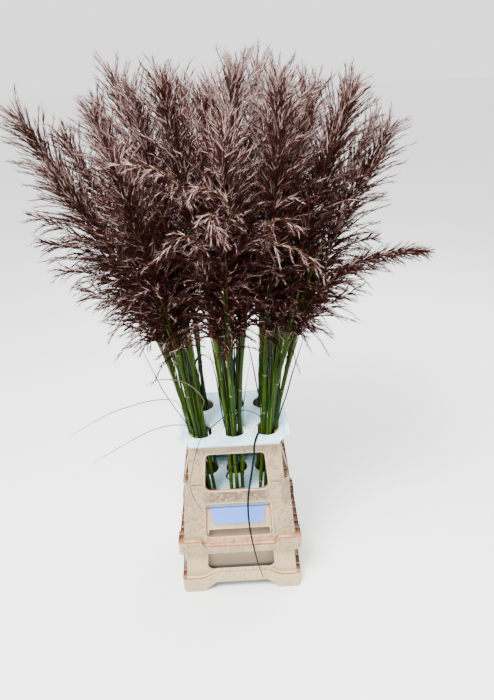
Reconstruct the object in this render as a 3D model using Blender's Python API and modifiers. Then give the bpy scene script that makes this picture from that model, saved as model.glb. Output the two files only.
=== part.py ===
"""Six bunches of cut pampas grass standing in a stacking flower transport holder.

The holder is a plastic base frame round a water bucket, an upper frame stacked on it, and two
sheet metal plates whose six holes keep the bunches apart. Each stalk is one solid: a culm that
stands on the bucket floor and the plume that it carries. Metres, +Z up, the origin at the middle
of the bucket's underside, the front towards -Y.
"""
import math

import bmesh
import bpy
from mathutils import Vector

# Driving sizes
FIT_GAP = 0.0003              # clearance between pieces that touch
WALL = 0.003                  # plastic wall of both frames and the bucket
CORNER_STEPS = 4              # facets in each rounded corner

FOOT_HALF = (0.200, 0.150)    # half width and depth of both skirts
BASE_LEDGE = 0.016            # between a skirt and the wall inside it
UPPER_LEDGE = 0.014
LEDGE_DROP = 0.006            # the ledge lies this far below the skirt's top edge
SKIRT_CORNER = (0.016, 0.016)
WALL_CORNER = (0.014, 0.014)
ARCH_FEET = (0.123, 0.085)    # where the skirt starts to rise, from the middle of a long and a short side
ARCH_CROWN = (0.070, 0.045)   # where it is fully risen

BASE_SKIRT_TOP = 0.057
BASE_ARCH_RISE = 0.041        # lower edge of the base skirt, at the middle of each side
BASE_CROWN_RISE = 0.024       # upper edge, there
BASE_TOP = 0.342
BASE_TOP_HALF = (0.166, 0.124)

UPPER_BOTTOM = 0.174
UPPER_SKIRT_TOP = 0.222
UPPER_DIP = -0.026            # the upper skirt's top edge falls in the middle of each side
UPPER_STEP = 0.443            # the wide lower part ends here
UPPER_STEP_HALF = (0.163, 0.134)
UPPER_STEP_CORNER = (0.026, 0.024)
UPPER_STEP_HEIGHT = 0.004
UPPER_NECK_HALF = (0.152, 0.131)
UPPER_TOP = 0.604
UPPER_TOP_HALF = (0.140, 0.124)
SHELF_HALF = (0.160, 0.116)   # opening in the shelf that stands on the base frame
SHELF_CORNER = (0.008, 0.008)

# Windows: half widths low and high in the long sides and in the short ones, heights, corner radius,
# and how far from the middle the cutters of the long and the short sides start
BASE_WINDOWS = ((0.110, 0.098), (0.064, 0.056), (0.084, 0.258), 0.012, (0.116, 0.156))
SHELF_CUT = 0.128
LOWER_WINDOWS = ((0.1095, 0.1035), (0.064, 0.058), (0.228, 0.370), 0.010, (SHELF_CUT, 0.165))
UPPER_WINDOWS = ((0.096, 0.0885), (0.060, 0.054), (0.424, 0.5565), 0.012, (0.112, 0.130))

BUCKET_HEIGHT = 0.298
BUCKET_FOOT_HALF = (0.146, 0.104)
BUCKET_RIM_HALF = (0.152, 0.110)
BUCKET_CORNER = (0.020, 0.020)
BUCKET_LIP = 0.003            # the rim turns out this far
BUCKET_LIP_HEIGHT = 0.008

PLATE_THICKNESS = 0.001
HOLE_RADIUS = 0.0365
HOLE_COLUMNS = (-0.100, 0.0, 0.100)
HOLE_ROW = 0.073
UPPER_PLATE_HALF = (0.1675, 0.150)
LOWER_PLATE_HALF = (0.162, 0.1265)
PLATE_CHAMFER = (0.035, 0.040)
UPPER_PLATE_LIP = -0.006      # folded down along the front and back
LOWER_PLATE_LIP = 0.020       # folded up

CARD_THICKNESS = 0.0004
CARD_HALF_WIDTH = 0.086
CARD_DROP = 0.062
CARD_TUCK = 0.020

CULM_RADIUS = 0.006
PLUME_RADIUS = 0.025
SEAT_RADIUS = 0.018           # from the middle of a bunch to each stalk round it
SEAT_SPREAD = 0.04            # a stalk leans out of its bunch this much more above the plates
LEAN_SHIFT = 0.010            # a leaning bunch rests towards the rim of its hole
PLUME_STEPS = 10

SHELF_BOTTOM = BASE_TOP + FIT_GAP
SHELF_TOP = SHELF_BOTTOM + WALL
CARD_LEVEL = SHELF_TOP + FIT_GAP
LOWER_PLATE_LEVEL = CARD_LEVEL + CARD_THICKNESS + FIT_GAP
UPPER_PLATE_LEVEL = UPPER_TOP + FIT_GAP

# Where each bunch leans at the plates, as sideways metres per metre of height
BUNCH_LEAN = {
    "front_left": (-0.08, -0.04), "front_middle": (0.0, -0.05), "front_right": (0.07, -0.04),
    "back_left": (-0.08, 0.03), "back_middle": (0.0, 0.05), "back_right": (0.07, 0.03),
}
SEATS = {"middle": (0, 0), "left": (-1, 0), "right": (1, 0), "front": (0, -1), "back": (0, 1)}
# Each stalk: its seat in the bunch, the tip of its plume and the height where the plume starts
STALKS = {
    "front_left": (
        ("left", (-0.47, -0.07, 1.53), 0.92), ("back", (-0.30, -0.05, 1.53), 0.93),
        ("front", (-0.21, -0.31, 1.45), 0.90), ("middle", (-0.37, -0.22, 1.42), 0.91),
        ("right", (-0.17, -0.19, 1.58), 0.94)),
    "front_middle": (
        ("left", (-0.10, -0.25, 1.58), 0.93), ("back", (-0.03, -0.08, 1.56), 0.95),
        ("front", (0.02, -0.33, 1.50), 0.90), ("middle", (0.045, -0.20, 1.60), 0.92),
        ("right", (0.15, -0.13, 1.56), 0.94)),
    "front_right": (
        ("left", (0.14, -0.27, 1.57), 0.93), ("back", (0.22, -0.04, 1.57), 0.95),
        ("front", (0.51, -0.22, 1.17), 0.93), ("middle", (0.31, -0.17, 1.55), 0.93),
        ("right", (0.42, -0.10, 1.47), 0.92)),
    "back_left": (
        ("left", (-0.43, 0.12, 1.47), 0.90), ("back", (-0.24, 0.32, 1.50), 0.90),
        ("front", (-0.25, 0.06, 1.61), 0.93), ("middle", (-0.34, 0.20, 1.54), 0.92),
        ("right", (-0.14, 0.18, 1.60), 0.94)),
    "back_middle": (
        ("left", (-0.09, 0.07, 1.58), 0.94), ("back", (-0.02, 0.34, 1.50), 0.90),
        ("front", (0.06, 0.00, 1.60), 0.95), ("middle", (-0.01, 0.22, 1.57), 0.93),
        ("right", (0.12, 0.18, 1.62), 0.93)),
    "back_right": (
        ("left", (0.16, 0.07, 1.60), 0.94), ("back", (0.22, 0.31, 1.50), 0.90),
        ("front", (0.35, 0.02, 1.56), 0.93), ("middle", (0.28, 0.17, 1.56), 0.92),
        ("right", (0.44, 0.12, 1.46), 0.90)),
}
DROOPING_STALK = ("front_right", "front")
DROOP_REACH = 0.62            # how far the drooping stalk climbs before it bends over

# Leaf blades: width, the stalk that each grows from, the height of its root on that stalk, and the
# points that it follows from there to its tip
LEAVES = {
    "leaf_long_front": (0.009, ("front_right", 1), 0.575, (
        (0.0795, -0.0945, 0.601), (0.073, -0.103, 0.6105), (0.063, -0.138, 0.611), (0.0575, -0.159, 0.600),
        (0.056, -0.163, 0.575), (0.048, -0.164, 0.517), (0.032, -0.165, 0.404), (0.034, -0.167, 0.285),
        (0.052, -0.170, 0.156), (0.069, -0.172, 0.078))),
    "leaf_arc_front": (0.004, ("front_right", 1), 0.640, (
        (0.074, -0.104, 0.675), (0.036, -0.140, 0.716), (-0.006, -0.165, 0.725), (-0.049, -0.180, 0.701),
        (-0.094, -0.185, 0.653), (-0.130, -0.180, 0.527), (-0.137, -0.178, 0.477), (-0.125, -0.172, 0.417),
        (-0.107, -0.162, 0.364))),
    "leaf_left_tall": (0.005, ("front_left", 1), 0.625, (
        (-0.142, -0.094, 0.660), (-0.160, -0.110, 0.710), (-0.188, -0.130, 0.790), (-0.208, -0.142, 0.865),
        (-0.227, -0.160, 0.945))),
    "leaf_cross_left": (0.008, ("back_left", 3), 0.640, (
        (-0.118, 0.036, 0.720), (-0.102, 0.014, 0.800), (-0.074, -0.012, 0.832), (-0.032, -0.050, 0.806))),
    "leaf_middle_left": (0.006, ("front_middle", 1), 0.620, (
        (-0.029, -0.092, 0.665), (-0.035, -0.095, 0.750), (-0.042, -0.098, 0.820), (-0.054, -0.104, 0.885))),
    "leaf_middle_right": (0.005, ("front_middle", 5), 0.630, (
        (0.030, -0.088, 0.680), (0.038, -0.092, 0.740), (0.048, -0.094, 0.800), (0.062, -0.094, 0.874))),
    "leaf_back_right": (0.005, ("back_right", 1), 0.620, (
        (0.080, 0.062, 0.670), (0.073, 0.050, 0.730), (0.065, 0.034, 0.790), (0.056, 0.016, 0.850))),
    "leaf_right_tall": (0.006, ("front_right", 5), 0.640, (
        (0.142, -0.094, 0.680), (0.158, -0.112, 0.750), (0.170, -0.122, 0.810), (0.184, -0.128, 0.865),
        (0.200, -0.132, 0.925))),
    "leaf_arc_left": (0.004, ("front_left", 5), 0.690, (
        (-0.080, -0.110, 0.736), (-0.101, -0.144, 0.798), (-0.138, -0.160, 0.834), (-0.187, -0.167, 0.843),
        (-0.226, -0.167, 0.828))),
    "leaf_window": (0.006, ("front_middle", 1), 0.415, (
        (-0.029, -0.100, 0.445), (-0.026, -0.110, 0.468), (-0.006, -0.112, 0.498), (0.030, -0.106, 0.524))),
    "leaf_droop_high": (0.005, ("front_left", 1), 0.690, (
        (-0.162, -0.102, 0.735), (-0.200, -0.128, 0.758), (-0.240, -0.148, 0.765), (-0.279, -0.160, 0.761),
        (-0.340, -0.180, 0.750), (-0.443, -0.200, 0.701))),
    "leaf_droop_low": (0.005, ("front_left", 3), 0.630, (
        (-0.138, -0.122, 0.662), (-0.180, -0.146, 0.682), (-0.238, -0.170, 0.680), (-0.317, -0.190, 0.648),
        (-0.397, -0.200, 0.605))),
}
LEAF_THICKNESS = 0.0012
LEAF_END = 0.12               # a blade's width at its root and tip, as a share of its full width

# The four sides anticlockwise from the front: the way along each, and the way out of it
SIDES = (((1, 0), (0, -1)), ((0, 1), (1, 0)), ((-1, 0), (0, 1)), ((0, -1), (-1, 0)))

COLOURS = {
    "frame_plastic": ((0.72, 0.56, 0.42), 0.55, 0.0),
    "bucket_plastic": ((0.50, 0.43, 0.37), 0.45, 0.0),
    "sheet_metal": ((0.62, 0.66, 0.70), 0.35, 1.0),
    "card_paper": ((0.80, 0.84, 0.90), 0.85, 0.0),
    "stalk": ((0.20, 0.13, 0.11), 0.85, 0.0),
    "leaf": ((0.05, 0.14, 0.07), 0.60, 0.0),
}


def clear_scene():
    """Empty the file that the script runs in."""
    for item in list(bpy.data.objects):
        bpy.data.objects.remove(item, do_unlink=True)


def new_collection(name):
    """A collection of that name in the scene."""
    collection = bpy.data.collections.new(name)
    bpy.context.scene.collection.children.link(collection)
    return collection


def new_material(name, finish):
    """A Principled material with the colour, roughness and metallic value of one piece."""
    colour, roughness, metallic = COLOURS[finish]
    material = bpy.data.materials.new(name)
    material.use_nodes = True
    shader = material.node_tree.nodes["Principled BSDF"]
    shader.inputs["Base Color"].default_value = (*colour, 1.0)
    shader.inputs["Roughness"].default_value = roughness
    shader.inputs["Metallic"].default_value = metallic
    material.diffuse_color = (*colour, 1.0)
    return material


def add_object(name, data, collection, finish=None):
    """Link an object, with a material of its own if it is a part."""
    item = bpy.data.objects.new(name, data)
    collection.objects.link(item)
    if finish:
        data.materials.append(new_material(name, finish))
    return item


def hide_helper(item):
    """Mark a cutter or guide, which is not part of the model."""
    item.hide_render = True
    item.display_type = "WIRE"


def mesh_from(name, fill):
    """A mesh that the function fill builds in a bmesh, with its faces turned outwards."""
    mesh = bpy.data.meshes.new(name)
    shape = bmesh.new()
    fill(shape)
    bmesh.ops.recalc_face_normals(shape, faces=shape.faces)
    shape.to_mesh(mesh)
    shape.free()
    return mesh


def mix(low, high, share):
    """The value a share of the way from low to high."""
    return low + (high - low) * share


def side_rise(along, side):
    """How far a skirt has risen at a point along a long (0) or short (1) side, from 0 to 1."""
    foot, crown = ARCH_FEET[side], ARCH_CROWN[side]
    return min(1.0, max(0.0, (foot - abs(along)) / (foot - crown)))


def outline(half, corner):
    """Points round a rectangle with elliptical corners, each with its skirt rise."""
    points = []
    for index, (travel, outward) in enumerate(SIDES):
        side = index % 2
        stations = [-ARCH_FEET[side], -ARCH_CROWN[side], ARCH_CROWN[side], ARCH_FEET[side]]
        for along in stations:
            x = travel[0] * along + outward[0] * half[0]
            y = travel[1] * along + outward[1] * half[1]
            points.append((x, y, side_rise(along, side)))
        centre = ((travel[0] + outward[0]) * (half[0] - corner[0]),
                  (travel[1] + outward[1]) * (half[1] - corner[1]))
        start = -math.pi / 2 + index * math.pi / 2
        for step in range(CORNER_STEPS + 1):
            angle = start + step / CORNER_STEPS * math.pi / 2
            points.append((centre[0] + corner[0] * math.cos(angle),
                           centre[1] + corner[1] * math.sin(angle), 0.0))
    return points


def loft_rings(shape, levels, closed):
    """Join outlines, each (half, corner, height, rise), into one skin."""
    rings = []
    for half, corner, height, rise in levels:
        rings.append([shape.verts.new((x, y, height + share * rise)) for x, y, share in outline(half, corner)])
    pairs = list(zip(rings, rings[1:]))
    if closed:
        pairs.append((rings[-1], rings[0]))
    for lower, upper in pairs:
        for index, vert in enumerate(lower):
            following = (index + 1) % len(lower)
            shape.faces.new((vert, lower[following], upper[following], upper[index]))
    return rings


def inset(half, distance):
    """Half sizes brought in by a distance."""
    return (half[0] - distance, half[1] - distance)


def window_cutter(name, collection, halves, heights, radius, near, side):
    """A rounded trapezium prism through one wall, from near outwards: half widths and heights from low
    to high, and the side's number in SIDES."""
    far = FOOT_HALF[0] + 0.01
    corners = ((-halves[0], heights[0]), (halves[0], heights[0]), (halves[1], heights[1]), (-halves[1], heights[1]))
    starts = (math.pi, 1.5 * math.pi, 0.0, 0.5 * math.pi)

    def fill(shape):
        ring = []
        for (across, height), start in zip(corners, starts):
            centre = (across - math.copysign(radius, across),
                      height + (radius if height == heights[0] else -radius))
            for step in range(CORNER_STEPS + 1):
                angle = start + step / CORNER_STEPS * math.pi / 2
                ring.append(shape.verts.new((centre[0] + radius * math.cos(angle), -far,
                                             centre[1] + radius * math.sin(angle))))
        face = shape.faces.new(ring)
        pushed = bmesh.ops.extrude_face_region(shape, geom=[face])
        verts = [item for item in pushed["geom"] if isinstance(item, bmesh.types.BMVert)]
        bmesh.ops.translate(shape, verts=verts, vec=(0, far - near, 0))

    cutter = add_object(name, mesh_from(name, fill), collection)
    cutter.rotation_euler.z = side * math.pi / 2
    hide_helper(cutter)
    return cutter


def cut(item, cutter):
    """Take a cutter's volume out of an object."""
    modifier = item.modifiers.new(cutter.name, "BOOLEAN")
    modifier.operation = "DIFFERENCE"
    modifier.object = cutter


def cut_windows(item, cutters, label, windows):
    """Windows of one row in all four walls."""
    wide, narrow, heights, radius, near = windows
    for side, place in enumerate(("front", "right", "back", "left")):
        halves = narrow if side % 2 else wide
        cut(item, window_cutter(f"{label}_{place}", cutters, halves, heights, radius, near[side % 2], side))


def build_base_frame(parts, cutters):
    """The lower frame: an arched skirt round its foot and a tapered wall with a window in each side."""
    skirt, wall, foot = inset(SKIRT_CORNER, WALL), inset(WALL_CORNER, WALL), inset(FOOT_HALF, BASE_LEDGE)
    inside, ledge = inset(FOOT_HALF, WALL), BASE_SKIRT_TOP - LEDGE_DROP
    levels = (
        (FOOT_HALF, SKIRT_CORNER, 0.0, BASE_ARCH_RISE),
        (FOOT_HALF, SKIRT_CORNER, BASE_SKIRT_TOP, BASE_CROWN_RISE),
        (inside, skirt, BASE_SKIRT_TOP, BASE_CROWN_RISE),
        (inside, skirt, ledge, BASE_CROWN_RISE),
        (foot, WALL_CORNER, ledge, BASE_CROWN_RISE),
        (BASE_TOP_HALF, WALL_CORNER, BASE_TOP, 0.0),
        (inset(BASE_TOP_HALF, WALL), wall, BASE_TOP, 0.0),
        (inset(foot, WALL), wall, ledge - WALL, BASE_CROWN_RISE),
        (inside, skirt, ledge - WALL, BASE_CROWN_RISE),
        (inside, skirt, 0.0, BASE_ARCH_RISE),
    )
    mesh = mesh_from("base_frame", lambda shape: loft_rings(shape, levels, closed=True))
    frame = add_object("base_frame", mesh, parts, "frame_plastic")
    cut_windows(frame, cutters, "base_window", BASE_WINDOWS)


def build_upper_frame(parts, cutters):
    """The stacked frame: a skirt, a wide lower part, a step, a narrower neck, and the inner shelf that
    stands on the base frame's top edge."""
    skirt, wall, foot = inset(SKIRT_CORNER, WALL), inset(WALL_CORNER, WALL), inset(FOOT_HALF, UPPER_LEDGE)
    inside, ledge = inset(FOOT_HALF, WALL), UPPER_SKIRT_TOP - LEDGE_DROP
    at_shelf = (SHELF_TOP - ledge) / (UPPER_STEP - ledge)
    shelf_wall = tuple(mix(low, high, at_shelf) - WALL for low, high in zip(foot, UPPER_STEP_HALF))
    levels = (
        (FOOT_HALF, SKIRT_CORNER, UPPER_BOTTOM, 0.0),
        (FOOT_HALF, SKIRT_CORNER, UPPER_SKIRT_TOP, UPPER_DIP),
        (inside, skirt, UPPER_SKIRT_TOP, UPPER_DIP),
        (inside, skirt, ledge, UPPER_DIP),
        (foot, WALL_CORNER, ledge, UPPER_DIP),
        (UPPER_STEP_HALF, UPPER_STEP_CORNER, UPPER_STEP, 0.0),
        (UPPER_NECK_HALF, WALL_CORNER, UPPER_STEP + UPPER_STEP_HEIGHT, 0.0),
        (UPPER_TOP_HALF, WALL_CORNER, UPPER_TOP, 0.0),
        (inset(UPPER_TOP_HALF, WALL), wall, UPPER_TOP, 0.0),
        (inset(UPPER_NECK_HALF, WALL), wall, UPPER_STEP + UPPER_STEP_HEIGHT - WALL, 0.0),
        (inset(UPPER_STEP_HALF, WALL), inset(UPPER_STEP_CORNER, WALL), UPPER_STEP - WALL, 0.0),
        (shelf_wall, wall, SHELF_TOP, 0.0),
        (SHELF_HALF, SHELF_CORNER, SHELF_TOP, 0.0),
        (SHELF_HALF, SHELF_CORNER, SHELF_BOTTOM, 0.0),
        (shelf_wall, wall, SHELF_BOTTOM, 0.0),
        (inset(foot, WALL), wall, ledge - WALL, UPPER_DIP),
        (inside, skirt, ledge - WALL, UPPER_DIP),
        (inside, skirt, UPPER_BOTTOM, 0.0),
    )
    mesh = mesh_from("upper_frame", lambda shape: loft_rings(shape, levels, closed=True))
    frame = add_object("upper_frame", mesh, parts, "frame_plastic")
    cut_windows(frame, cutters, "lower_window", LOWER_WINDOWS)
    cut_windows(frame, cutters, "upper_window", UPPER_WINDOWS)


def build_water_bucket(parts):
    """The bucket that stands on the ground inside the base frame, with a turned-out rim."""
    lip, inner = inset(BUCKET_RIM_HALF, -BUCKET_LIP), inset(BUCKET_CORNER, WALL)
    levels = (
        (BUCKET_FOOT_HALF, BUCKET_CORNER, 0.0, 0.0),
        (BUCKET_RIM_HALF, BUCKET_CORNER, BUCKET_HEIGHT - BUCKET_LIP_HEIGHT, 0.0),
        (lip, BUCKET_CORNER, BUCKET_HEIGHT - BUCKET_LIP_HEIGHT, 0.0),
        (lip, BUCKET_CORNER, BUCKET_HEIGHT, 0.0),
        (inset(BUCKET_RIM_HALF, WALL), inner, BUCKET_HEIGHT, 0.0),
        (inset(BUCKET_FOOT_HALF, WALL), inner, WALL, 0.0),
    )

    def fill(shape):
        rings = loft_rings(shape, levels, closed=False)
        shape.faces.new(rings[0])
        shape.faces.new(rings[-1])

    add_object("water_bucket", mesh_from("water_bucket", fill), parts, "bucket_plastic")


def plate_outline(half, chamfer):
    """A rectangle with its four corners cut off, anticlockwise from the front edge."""
    edge_x, edge_y = half[0] - chamfer[0], half[1]
    side_x, side_y = half[0], half[1] - chamfer[1]
    return ((-edge_x, -edge_y), (edge_x, -edge_y), (side_x, -side_y), (side_x, side_y),
            (edge_x, edge_y), (-edge_x, edge_y), (-side_x, side_y), (-side_x, -side_y))


def build_plate(name, parts, half, level, lip):
    """A sheet metal plate with six round holes and its front and back edges folded over."""
    curve = bpy.data.curves.new(name, "CURVE")
    curve.dimensions = "2D"
    curve.fill_mode = "BOTH"
    loops = [plate_outline(half, PLATE_CHAMFER)]
    for column in HOLE_COLUMNS:
        for row in (-HOLE_ROW, HOLE_ROW):
            turns = [step / 24 * math.tau for step in range(24)]
            loops.append([(column + HOLE_RADIUS * math.cos(t), row + HOLE_RADIUS * math.sin(t)) for t in turns])
    for loop in loops:
        spline = curve.splines.new("POLY")
        spline.points.add(len(loop) - 1)
        for point, (x, y) in zip(spline.points, loop):
            point.co = (x, y, 0.0, 1.0)
        spline.use_cyclic_u = True
    drawing = add_object(name + "_drawing", curve, parts)
    flat = drawing.evaluated_get(bpy.context.evaluated_depsgraph_get())
    mesh = bpy.data.meshes.new_from_object(flat)
    bpy.data.objects.remove(drawing, do_unlink=True)

    shape = bmesh.new()
    shape.from_mesh(mesh)
    bmesh.ops.remove_doubles(shape, verts=shape.verts, dist=0.00005)
    bmesh.ops.translate(shape, verts=shape.verts, vec=(0, 0, level))
    folded = [edge for edge in shape.edges if edge.is_boundary
              and all(abs(abs(vert.co.y) - half[1]) < 0.0001 for vert in edge.verts)]
    lifted = bmesh.ops.extrude_edge_only(shape, edges=folded)
    verts = [item for item in lifted["geom"] if isinstance(item, bmesh.types.BMVert)]
    bmesh.ops.translate(shape, verts=verts, vec=(0, 0, lip))
    bmesh.ops.recalc_face_normals(shape, faces=shape.faces)
    if sum(face.normal.z * face.calc_area() for face in shape.faces) < 0:
        bmesh.ops.reverse_faces(shape, faces=shape.faces)
    shape.to_mesh(mesh)
    shape.free()
    mesh.name = name
    plate = add_object(name, mesh, parts, "sheet_metal")
    solidify = plate.modifiers.new("sheet", "SOLIDIFY")
    solidify.thickness = PLATE_THICKNESS
    solidify.offset = 1.0


def build_label_card(parts):
    """A stiff card folded over the shelf: one flap lies under the lower plate, the other hangs down
    in the front window."""
    front = -(SHELF_CUT + FIT_GAP + CARD_THICKNESS / 2)
    back = front + CARD_TUCK
    top = CARD_LEVEL + CARD_THICKNESS / 2

    def fill(shape):
        rows = ((back, top), (front, top), (front, top - CARD_DROP))
        lines = [[shape.verts.new((x, y, z)) for x in (-CARD_HALF_WIDTH, CARD_HALF_WIDTH)] for y, z in rows]
        for near, far in zip(lines, lines[1:]):
            shape.faces.new((near[0], near[1], far[1], far[0]))

    mesh = mesh_from("label_card", fill)
    card = add_object("label_card", mesh, parts, "card_paper")
    solidify = card.modifiers.new("card", "SOLIDIFY")
    solidify.thickness = CARD_THICKNESS
    solidify.offset = 0.0


def stalk_path(bunch, seat, tip):
    """Points up one stalk: straight through the plates, then bending over to the plume's tip."""
    row, column = bunch.split("_")
    hole = Vector((HOLE_COLUMNS[("left", "middle", "right").index(column)],
                   -HOLE_ROW if row == "front" else HOLE_ROW, UPPER_PLATE_LEVEL))
    lean = Vector((*BUNCH_LEAN[bunch], 0.0))
    offset = Vector((*SEATS[seat], 0.0))
    waist = hole + offset * SEAT_RADIUS + lean.normalized() * LEAN_SHIFT
    foot_height = WALL + FIT_GAP + CULM_RADIUS * lean.length
    foot = waist - (lean + Vector((0, 0, 1))) * (waist.z - foot_height)
    climb = lean + offset * SEAT_SPREAD + Vector((0, 0, 1))
    tip = Vector(tip)
    reach = DROOP_REACH if (bunch, seat) == DROOPING_STALK else (tip.z - waist.z) / 2
    bend = waist + climb * reach
    points = [foot, foot.lerp(waist, 0.5)]
    for step in range(PLUME_STEPS + 1):
        t = step / PLUME_STEPS
        points.append(waist * (1 - t) ** 2 + bend * 2 * t * (1 - t) + tip * t ** 2)
    return points


def stalk_radius(points, plume_start):
    """Radius at each point: a thin culm that swells into a spindle from plume_start to the tip."""
    travelled = [0.0]
    for before, after in zip(points, points[1:]):
        travelled.append(travelled[-1] + (after - before).length)
    first = next(index for index, point in enumerate(points) if point.z >= plume_start) - 1
    start, end = travelled[first], travelled[-1]
    radii = []
    for distance in travelled:
        share = max(0.0, (distance - start) / (end - start))
        swell = math.sin(math.pi * min(share, 1.0) ** 0.8) ** 0.8 if 0 < share < 1 else 0.0
        radii.append(mix(CULM_RADIUS, PLUME_RADIUS, swell))
    radii[-1] = CULM_RADIUS / 2
    return radii


def build_stalks(parts):
    """One solid for each stalk: culm and plume in one piece, as it grew."""
    for bunch, stalks in STALKS.items():
        for number, (seat, tip, plume_start) in enumerate(stalks, start=1):
            name = f"stalk_{bunch}_{number}"
            points = stalk_path(bunch, seat, tip)
            curve = bpy.data.curves.new(name, "CURVE")
            curve.dimensions = "3D"
            curve.bevel_depth = 1.0
            curve.bevel_resolution = 2
            curve.use_fill_caps = True
            spline = curve.splines.new("POLY")
            spline.points.add(len(points) - 1)
            for point, place, radius in zip(spline.points, points, stalk_radius(points, plume_start)):
                point.co = (*place, 1.0)
                point.radius = radius
            add_object(name, curve, parts, "stalk")


def leaf_root(grower, height, towards):
    """The point on the skin of a stalk where a blade starts, on the side that the blade leaves to."""
    bunch, number = grower
    seat, tip, _ = STALKS[bunch][number - 1]
    points = stalk_path(bunch, seat, tip)
    upper = next(index for index, point in enumerate(points) if point.z >= height)
    low, high = points[upper - 1], points[upper]
    axis = low.lerp(high, (height - low.z) / (high.z - low.z))
    side = Vector((towards[0] - axis.x, towards[1] - axis.y, 0.0)).normalized()
    return axis + side * (CULM_RADIUS + 2 * FIT_GAP)


def blade_width(share):
    """Width along a blade from root to tip, as a share of its full width."""
    return mix(LEAF_END, 1.0, math.sin(math.pi * share ** 0.6) ** 0.7 if 0.0 < share < 1.0 else 0.0)


def build_leaves(parts, cutters):
    """Loose leaf blades: a flat lens section swept along each blade's own line."""
    for name, (width, grower, height, route) in LEAVES.items():
        points = (leaf_root(grower, height, route[0]), *route)
        section = bpy.data.curves.new(name + "_section", "CURVE")
        rim = section.splines.new("POLY")
        rim.points.add(3)
        corners = ((width / 2, 0), (0, -LEAF_THICKNESS / 2), (-width / 2, 0), (0, LEAF_THICKNESS / 2))
        for point, (x, y) in zip(rim.points, corners):
            point.co = (x, y, 0.0, 1.0)
        rim.use_cyclic_u = True
        guide = add_object(name + "_section", section, cutters)
        hide_helper(guide)
        curve = bpy.data.curves.new(name, "CURVE")
        curve.dimensions = "3D"
        curve.resolution_u = 3
        curve.bevel_mode = "OBJECT"
        curve.bevel_object = guide
        curve.use_fill_caps = True
        spline = curve.splines.new("BEZIER")
        spline.bezier_points.add(len(points) - 1)
        for index, (point, place) in enumerate(zip(spline.bezier_points, points)):
            share = index / (len(points) - 1)
            point.co = place
            point.handle_left_type = point.handle_right_type = "AUTO"
            point.radius = blade_width(share)
        add_object(name, curve, parts, "leaf")


def main():
    """Build every piece."""
    clear_scene()
    parts = new_collection("pampas_grass_in_holder")
    cutters = new_collection("cutters")
    build_base_frame(parts, cutters)
    build_upper_frame(parts, cutters)
    build_water_bucket(parts)
    build_plate("lower_plate", parts, LOWER_PLATE_HALF, LOWER_PLATE_LEVEL, LOWER_PLATE_LIP)
    build_plate("upper_plate", parts, UPPER_PLATE_HALF, UPPER_PLATE_LEVEL, UPPER_PLATE_LIP)
    build_label_card(parts)
    build_stalks(parts)
    build_leaves(parts, cutters)


main()
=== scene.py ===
"""Cut pampas grass in a stacking flower transport holder: the finished look of every piece.

Six bunches of plumes on green culms stand in a plastic holder: a base frame round a water bucket,
an upper frame stacked on it, and two sheet metal plates whose holes keep the bunches apart.
"""
import math

import bmesh
import bpy
from bpy.props import FloatProperty, FloatVectorProperty, IntProperty
from mathutils import Matrix, Vector


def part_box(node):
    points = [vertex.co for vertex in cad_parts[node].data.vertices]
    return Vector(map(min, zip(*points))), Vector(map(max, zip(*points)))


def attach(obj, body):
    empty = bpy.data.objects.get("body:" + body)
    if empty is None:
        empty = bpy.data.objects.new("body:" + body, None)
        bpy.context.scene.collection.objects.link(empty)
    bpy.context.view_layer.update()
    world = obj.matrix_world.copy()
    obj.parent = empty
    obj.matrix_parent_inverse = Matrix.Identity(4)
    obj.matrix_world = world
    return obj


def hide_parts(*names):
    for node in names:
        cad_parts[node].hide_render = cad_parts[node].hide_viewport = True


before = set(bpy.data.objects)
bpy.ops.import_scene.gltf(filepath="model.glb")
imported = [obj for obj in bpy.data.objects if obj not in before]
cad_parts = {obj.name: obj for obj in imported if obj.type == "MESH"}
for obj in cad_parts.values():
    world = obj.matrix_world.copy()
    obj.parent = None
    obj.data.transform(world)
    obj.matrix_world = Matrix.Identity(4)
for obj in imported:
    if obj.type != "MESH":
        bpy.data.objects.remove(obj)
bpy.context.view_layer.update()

bl_info = {
    "name": "Pampas grass in a transport holder",
    "version": (1, 0, 0),
    "blender": (4, 5, 0),
    "location": "View3D > Sidebar > Pampas",
    "description": "Builds bunches of cut pampas grass in a stacking flower holder",
    "category": "Object",
}

BODY = "root"

# ------------------------------------------------------------
# Sizes shared with the solids, in metres

# How close to each other two places count as the same
NEAR = 0.0001

WALL = 0.003
FOOT_HALF = (0.200, 0.150)
SKIRT_CORNER = 0.016

# Where a skirt's edge starts to rise or fall and where it is done, from the middle of long and short sides
BASE_ARCH = ((0.134, 0.093), (0.084, 0.052))
UPPER_ARCH = ((0.126, 0.088), (0.112, 0.074))

# The steps that such an edge rises in, and how far it is eased from a straight line towards a soft one
ARCH_STEPS = 6
ARCH_EASE = 0.35

BASE_LEDGE = 0.016
BASE_SKIRT_TOP = 0.057
BASE_ARCH_RISE = 0.041
BASE_CROWN_RISE = 0.027
BASE_TOP = 0.342
BASE_TOP_HALF = (0.166, 0.124)
BASE_FOOT_HALF = (FOOT_HALF[0] - BASE_LEDGE, FOOT_HALF[1] - BASE_LEDGE)

UPPER_LEDGE = 0.014
UPPER_SIDE_LEDGE = 0.019
UPPER_FOOT_HALF = (FOOT_HALF[0] - UPPER_SIDE_LEDGE, FOOT_HALF[1] - UPPER_LEDGE)
UPPER_BOTTOM = 0.174
UPPER_SKIRT_TOP = 0.222
UPPER_DIP = -0.022
UPPER_STEP = 0.443
UPPER_STEP_HALF = (0.163, 0.134)
UPPER_NECK_HALF = (0.1475, 0.131)
UPPER_TOP = 0.604
UPPER_TOP_HALF = (0.1365, 0.124)
SHELF_LEVELS = (0.3423, 0.3453)
SHELF_HALF = (0.160, 0.116)

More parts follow.
